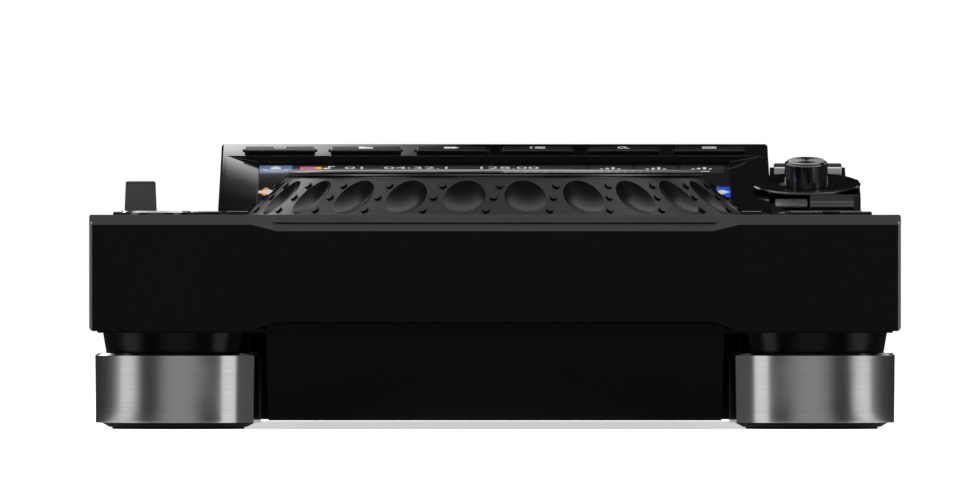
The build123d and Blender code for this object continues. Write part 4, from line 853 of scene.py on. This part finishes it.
# ---- Printed and backlit marks: icons, figures and scales only ----
rows = [-1.5, 0.0, 1.5]
menu_icons = [
    ring_pieces(0, 0, 1.9, 2.5, 32) + [circle(0, 0, 0.7, 16)],
    [rectangle(-3.0, -1.9, 3.0, 1.3), rectangle(-3.0, 1.3, -0.4, 2.1)],
    [[(-3.2, -1.6), (1.4, -1.6), (3.2, 0.0), (1.4, 1.6), (-3.2, 1.6)]],
    [rectangle(-1.2, v - 0.35, 3.2, v + 0.35) for v in rows]
    + [rectangle(-3.2, v - 0.35, -2.2, v + 0.35) for v in rows],
    ring_pieces(-0.6, 0.4, 1.3, 1.9, 32) + [[(0.5, -0.9), (2.2, -2.4), (2.7, -1.9), (1.0, -0.4)]],
    [rectangle(-3.0, v - 0.4, 3.0, v + 0.4) for v in (-1.7, 0.0, 1.7)],
]
MENU_V = STRIP_START / MM + 10.2
for i, icon in enumerate(menu_icons):
    spot = ((i - 2.5) * MENU_PITCH / MM, MENU_V)
    on_cap(f"menu_icon_{i + 1}", f"menu_button_{i + 1}", icon, mark_white, FACE, spot, 1.5)

# Places of the caps and knobs on the deck.
PLAY_SPOT = (-138.0, -188.0)
CUE_SPOT = (-138.0, -150.0)
BACK_X, FORWARD_X = -149.0, -127.0
SEARCH_Y = -118.0
TRACK_Y = -98.0
PAD_Y = 21.0
LOOP_X, LOOP_PITCH = -146.7, 13.9
HOT_CUE_X, HOT_CUE_PITCH = -99.05, 28.3
SYNC_SPOT = (123.8, 12.0)
MASTER_SPOT = (123.8, 44.0)
JOG_ADJUST_SPOT = (138.7, 12.0)
VINYL_SPEED_SPOT = (138.7, 44.0)
RESET_SPOT = (127.0, -176.0)
MASTER_TEMPO_SPOT = (147.0, -176.0)

halo = ring_pieces(0, 0, 10.2, 11.0)
pause = [rectangle(1.4, -2.6, 2.4, 2.6), rectangle(3.4, -2.6, 4.4, 2.6)]
play_icon = [triangle(-2.2, 0, 4.4)] + pause
on_cap("play_icon", "play_button", play_icon, ui_green, DECK, PLAY_SPOT, 1.2)
on_cap("play_halo", "play_button", halo, ui_green, DECK, PLAY_SPOT, 1.2)
on_cap("cue_icon", "cue_button", [circle(0, 0, 2.4)], ui_orange, DECK, CUE_SPOT, 1.2)
on_cap("cue_halo", "cue_button", halo, ui_orange, DECK, CUE_SPOT, 1.2)
for way, side, x in ((-1, "back", BACK_X), (1, "forward", FORWARD_X)):
    double = [triangle(-way * 1.5, 0, 2.8, way), triangle(way * 1.5, 0, 2.8, way)]
    stop = rectangle(way * 2.2 - 0.3, -1.7, way * 2.2 + 0.3, 1.7)
    single = [triangle(0, 0, 2.8, way), stop]
    for kind, icon, y in (("search", double, SEARCH_Y), ("track", single, TRACK_Y)):
        cap = f"{kind}_{side}_button"
        on_cap(f"{kind}_{side}_icon", cap, icon, mark_white, DECK, (x, y), 1.4)

bracket = [
    rectangle(-1.6, -2.2, -1.0, 2.2),
    rectangle(-1.0, 1.6, 0.4, 2.2),
    rectangle(-1.0, -2.2, 0.4, -1.6),
]
mirrored = [[(-u, v) for u, v in shape][::-1] for shape in bracket]
open_ring = ring_pieces(0, 0, 1.7, 2.3, 32, 40, 340)
loop_icons = {"loop_in": bracket, "loop_out": mirrored, "reloop": open_ring}
for i, (name, icon) in enumerate(loop_icons.items()):
    spot = (LOOP_X + LOOP_PITCH * i, PAD_Y)
    on_cap(f"{name}_icon", f"{name}_button", icon, ui_orange, DECK, spot, 1.8)

light = [rectangle(-10.0, -4.3, 10.0, -3.5)]
for i in range(8):
    u = HOT_CUE_X + HOT_CUE_PITCH * i
    cap = f"hot_cue_button_{i + 1}"
    colour = (ui_green, ui_orange, ui_blue, ui_pink)[i % 4]
    on_cap(f"hot_cue_light_{i + 1}", cap, light, colour, DECK, (u, PAD_Y), 1.9)
    figures(
        f"hot_cue_figure_{i + 1}", str(i + 1), 5.0, u - 1.2, PAD_Y - 1.4, mark_white,
        body=cap + "_cap", plane=DECK, lift=1.94,
    )
for name, spot in (("sync", SYNC_SPOT), ("master", MASTER_SPOT)):
    small_halo = ring_pieces(0, 0, 4.2, 4.8, 48)
    on_cap(f"{name}_halo", f"{name}_button", small_halo, mark_white, DECK, spot, 1.4)
for name, icon, spot in (
    ("tempo_reset", ring_pieces(0, 0, 1.5, 2.0, 32), RESET_SPOT),
    ("master_tempo", [triangle(0, 0, 3.0)], MASTER_TEMPO_SPOT),
):
    on_cap(f"{name}_icon", f"{name}_button", icon, mark_white, DECK, spot, 1.4)

# The tempo scale stands left of the slot, with its ends marked plus and minus.
SCALE_RISE = 1.8
SCALE_RIGHT = 127.4
LONG_TICK, SHORT_TICK = 121.6, 123.6
END_REACH = 60.0
SIGN_LEFT, SIGN_RIGHT = 121.6, 125.4
SIGN_MIDDLE = 123.5
tempo_v = TEMPO_Y / MM
scale_ticks = []
for i in range(-10, 11):
    left = SHORT_TICK if i % 5 else LONG_TICK
    v = tempo_v + 5.0 * i
    scale_ticks.append(rectangle(left, v - 0.15, SCALE_RIGHT, v + 0.15))
on_deck("tempo_scale", scale_ticks, mark_white, SCALE_RISE)
plus_v, minus_v = tempo_v - END_REACH, tempo_v + END_REACH
plus = [
    rectangle(SIGN_LEFT, plus_v - 0.3, SIGN_RIGHT, plus_v + 0.3),
    rectangle(SIGN_MIDDLE - 0.3, plus_v - 1.9, SIGN_MIDDLE + 0.3, plus_v + 1.9),
]
on_deck("tempo_plus", plus, mark_white, SCALE_RISE)
minus = [rectangle(SIGN_LEFT, minus_v - 0.3, SIGN_RIGHT, minus_v + 0.3)]
on_deck("tempo_minus", minus, mark_white, SCALE_RISE)
for name, spot in (("jog_adjust", JOG_ADJUST_SPOT), ("vinyl_speed", VINYL_SPEED_SPOT)):
    ticks = [spoke(*spot, -60 + 30 * i, 7.4, 8.6, 0.15) for i in range(11)]
    on_deck(f"{name}_scale", ticks, mark_white)
arrows = []
for way in (1, -1):
    u, foot, tip = LEVER_X / MM, LEVER_Y / MM + 14.0 * way, LEVER_Y / MM + 17.4 * way
    arrows.append([(u - 2.0 * way, foot), (u + 2.0 * way, foot), (u, tip)])
on_deck("lever_arrows", arrows, mark_white)

# The digital jack's ring uses the glowing display orange, so it glows though it is only print;
# the left and right rings are plain print.
jack_marks = {"digital": ui_orange, "left": mark_white, "right": mark_red}
for name, mat in jack_marks.items():
    ring = ring_pieces(-JACKS_X[name] / MM, SOCKET_Z / MM, 6.4, 7.4, 48)
    flat_shapes(f"{name}_jack_ring", ring, mat, "housing", BACK, 0.05)

# ---- Camera: level, far off, a little left of the middle ----
PICTURE_WIDTH = 0.39303
EYE_HEIGHT = 0.0729
EYE_X = -0.00407
LENS = 850.0
camera_data = bpy.data.cameras.new("camera")
camera_data.lens = LENS
camera = bpy.data.objects.new("camera", camera_data)
bpy.context.scene.collection.objects.link(camera)
distance = PICTURE_WIDTH * LENS / camera_data.sensor_width
camera.location = (EYE_X, cad_box[0].y - distance, EYE_HEIGHT)
camera.rotation_euler = (math.pi / 2, 0, 0)
camera_data.clip_end = 200.0
bpy.context.scene.camera = camera

# ---- Studio: pale floor, white background, soft lamps, and a dome that only the gloss sees ----
WORLD_LEVEL = 0.5
FLOOR_HALF = 60.0
FLOOR_COLOUR = (0.84, 0.84, 0.84, 1)
FLOOR_GLOW = 0.6
WHITE = (1, 1, 1, 1)
bpy.context.scene.view_settings.view_transform = "Standard"


def shows_white(owner):
    """1 for the rays that should meet a white background."""
    paths = node(owner, "ShaderNodeLightPath").outputs
    through = maths("MAXIMUM", paths["Is Glossy Ray"], paths["Is Transmission Ray"])
    return maths("MAXIMUM", paths["Is Camera Ray"], through)


world = bpy.data.worlds.new("world")
bpy.context.scene.world = world
world.use_nodes = True
world.node_tree.nodes.clear()
mix = node(world, "ShaderNodeMixShader")
link(shows_white(world), mix.inputs[0])
for slot, level in ((1, WORLD_LEVEL), (2, 1.0)):
    background = node(world, "ShaderNodeBackground")
    background.inputs["Color"].default_value = WHITE
    background.inputs["Strength"].default_value = level
    link(background.outputs[0], mix.inputs[slot])
link(mix.outputs[0], node(world, "ShaderNodeOutputWorld").inputs["Surface"])


def bare_material(name):
    """A material without a shader, and the socket that its shader goes into."""
    mat = bpy.data.materials.new(name)
    mat.use_nodes = True
    mat.node_tree.nodes.clear()
    return mat, node(mat, "ShaderNodeOutputMaterial").inputs["Surface"]


def glow_material(name):
    """A glowing material, and the socket of its strength."""
    mat, surface = bare_material(name)
    glow = node(mat, "ShaderNodeEmission")
    link(glow.outputs[0], surface)
    return mat, glow.inputs["Strength"]


def stage_object(name, verts, faces, mat):
    mesh = mesh_from(name, verts, faces)
    mesh.materials.append(mat)
    obj = bpy.data.objects.new(name, mesh)
    bpy.context.scene.collection.objects.link(obj)
    return obj


def level_square(half, z):
    return [(-half, -half, z), (half, -half, z), (half, half, z), (-half, half, z)]


floor_mat, surface = bare_material("floor_white")
matt = node(floor_mat, "ShaderNodeBsdfDiffuse")
matt.inputs["Color"].default_value = FLOOR_COLOUR
glow = node(floor_mat, "ShaderNodeEmission")
link(maths("MULTIPLY", shows_white(floor_mat), FLOOR_GLOW), glow.inputs["Strength"])
added = node(floor_mat, "ShaderNodeAddShader")
link(matt.outputs[0], added.inputs[0])
link(glow.outputs[0], added.inputs[1])
link(added.outputs[0], surface)
stage_object("floor", level_square(FLOOR_HALF, 0), [(0, 1, 2, 3)], floor_mat)

# The dome's brightness by angle from the front, the same on both sides.
DOME_LEVELS = [
    (0, 0.34), (16, 0.3), (32, 0.05), (52, 0.04), (58, 0.5),
    (66, 0.9), (86, 0.95), (89, 0.2), (110, 0.06), (180, 0.008),
]
DOME_R = 3.0
DOME_TOP = 4.5
DOME_SIDES = 96
DOME_FOOT = 0.002
FOOTPRINT = (0.166, 0.228)
ROOF_LEVEL = 0.3


def card_only(obj):
    """Keeps a glowing card to reflections, so it neither lights nor hides anything."""
    obj.visible_camera = False
    obj.visible_diffuse = False
    obj.visible_transmission = False
    obj.visible_volume_scatter = False
    obj.visible_shadow = False


# Angles are measured from the nearer front foot, whose metal shows the dome best.
dome_mat, strength = glow_material("dome")
x, y, z = parts_of(own_place(dome_mat))
aside = maths("ADD", maths("ABSOLUTE", x), -FOOT_SPOT.x)
ahead = maths("SUBTRACT", -FOOT_SPOT.y, y)
angle = maths("ARCTAN2", maths("ABSOLUTE", aside), ahead)
levels = node(dome_mat, "ShaderNodeValToRGB")
link(maths("DIVIDE", angle, math.pi), levels.inputs["Fac"])
stops = levels.color_ramp.elements
while len(stops) < len(DOME_LEVELS):
    stops.new(0.5)
for stop, (degrees, level) in zip(stops, DOME_LEVELS):
    stop.position = degrees / 180
    stop.color = (level, level, level, 1)
link(levels.outputs["Color"], strength)

# A ring of floor from just outside the player, and the wall round it.
verts, faces = [], []
for i in range(DOME_SIDES):
    turn = 2 * math.pi * (i + 0.5) / DOME_SIDES
    s, c = math.sin(turn), math.cos(turn)
    near = min(FOOTPRINT[0] / abs(s), FOOTPRINT[1] / abs(c))
    profile = [(near, DOME_FOOT), (DOME_R, DOME_FOOT), (DOME_R, DOME_TOP)]
    verts += [(r * s, -r * c, z) for r, z in profile]
    here, following = 3 * i, 3 * ((i + 1) % DOME_SIDES)
    for j in range(2):
        faces.append((here + j, following + j, following + j + 1, here + j + 1))
card_only(stage_object("dome", verts, faces, dome_mat))
roof_mat, strength = glow_material("roof")
strength.default_value = ROOF_LEVEL
card_only(stage_object("roof", level_square(DOME_R, DOME_TOP), [(0, 1, 2, 3)], roof_mat))


def fading_card(name, corners, level, across=None, along=None, up=None, least=0.0):
    """A card that glows on its front and fades from one x to another, and so along y and up z."""
    mat, strength = glow_material(name)
    glow = level
    for value, span in zip(parts_of(own_place(mat)), (across, along, up)):
        if span:
            glow = maths("MULTIPLY", ramp(value, *span, interpolation_type="SMOOTHSTEP"), glow)
    if least:
        glow = maths("MAXIMUM", glow, least)
    behind = node(mat, "ShaderNodeNewGeometry").outputs["Backfacing"]
    link(maths("MULTIPLY", glow, maths("SUBTRACT", 1.0, behind)), strength)
    card_only(stage_object(name, corners, [(0, 1, 2, 3)], mat))


def upright(x0, x1, y, z0, z1):
    """The corners of an upright card that faces the front."""
    return [(x0, y, z0), (x1, y, z0), (x1, y, z1), (x0, y, z1)]


# The display's left facet, glass and strip mirror a low card close behind; the jog mirrors two
# tall ones. The dimples mirror the one overhead, which fades to the back.
low_card = upright(-0.121, 0.05, 0.3, 0.125, 0.215)
fading_card("low_card", low_card, 2.3, across=(-0.005, -0.13), up=(0.175, 0.1635))
tall_card = upright(-0.76, -0.2, 0.78, 0.45, 0.9)
fading_card("tall_card", tall_card, 5.0, across=(-0.2, -0.5))
tall_right = upright(0.15, 0.71, 0.78, 0.45, 0.9)
fading_card("tall_right", tall_right, 1.0, across=(0.15, 0.5))
over_card = [(-1.2, 1.3, 1.7), (1.2, 1.3, 1.7), (1.2, -1.0, 1.7), (-1.2, -1.0, 1.7)]
fading_card("over_card", over_card, 5.0, along=(-1.0, 0.3))

# The belly hides the dome from the inner sides of the front feet, so each has a card beside it.
INNER_X = FOOT_SPOT.x - FOOT_R + 2.3 * MM
INNER_FRONT = -FOOT_SPOT.y - 35.6 * MM
INNER_BACK = -FOOT_SPOT.y - 13.0 * MM
INNER_TOP = 0.04
INNER_FADE = (-FOOT_SPOT.y - 23.0 * MM, -FOOT_SPOT.y - 25.6 * MM)
INNER_LEVEL, INNER_LEAST = 0.95, 0.1
for name, way in (("inner_left", -1), ("inner_right", 1)):
    front, back = (way * INNER_X, INNER_FRONT), (way * INNER_X, INNER_BACK)
    card = [(*front, DOME_FOOT), (*back, DOME_FOOT), (*back, INNER_TOP), (*front, INNER_TOP)]
    fading_card(name, card[::way], INNER_LEVEL, along=INNER_FADE, least=INNER_LEAST)


def lamp(name, place, size, radiance):
    """A soft rectangular lamp of an even brightness, aimed at the middle of the floor."""
    data = bpy.data.lights.new(name, "AREA")
    data.shape = "RECTANGLE"
    data.size, data.size_y = size
    data.energy = radiance * math.pi * size[0] * size[1]
    obj = bpy.data.objects.new(name, data)
    obj.location = place
    obj.rotation_euler = (-Vector(place)).to_track_quat("-Z", "Y").to_euler()
    obj.visible_camera = False
    obj.visible_glossy = False
    bpy.context.scene.collection.objects.link(obj)


LAMP_RADIANCE = 2.4
lamp("top_softbox", (0, 0.1, 2.1), (2.4, 2.0), LAMP_RADIANCE)
lamp("front_softbox", (0, -2.1, 2.5), (2.4, 1.2), LAMP_RADIANCE)
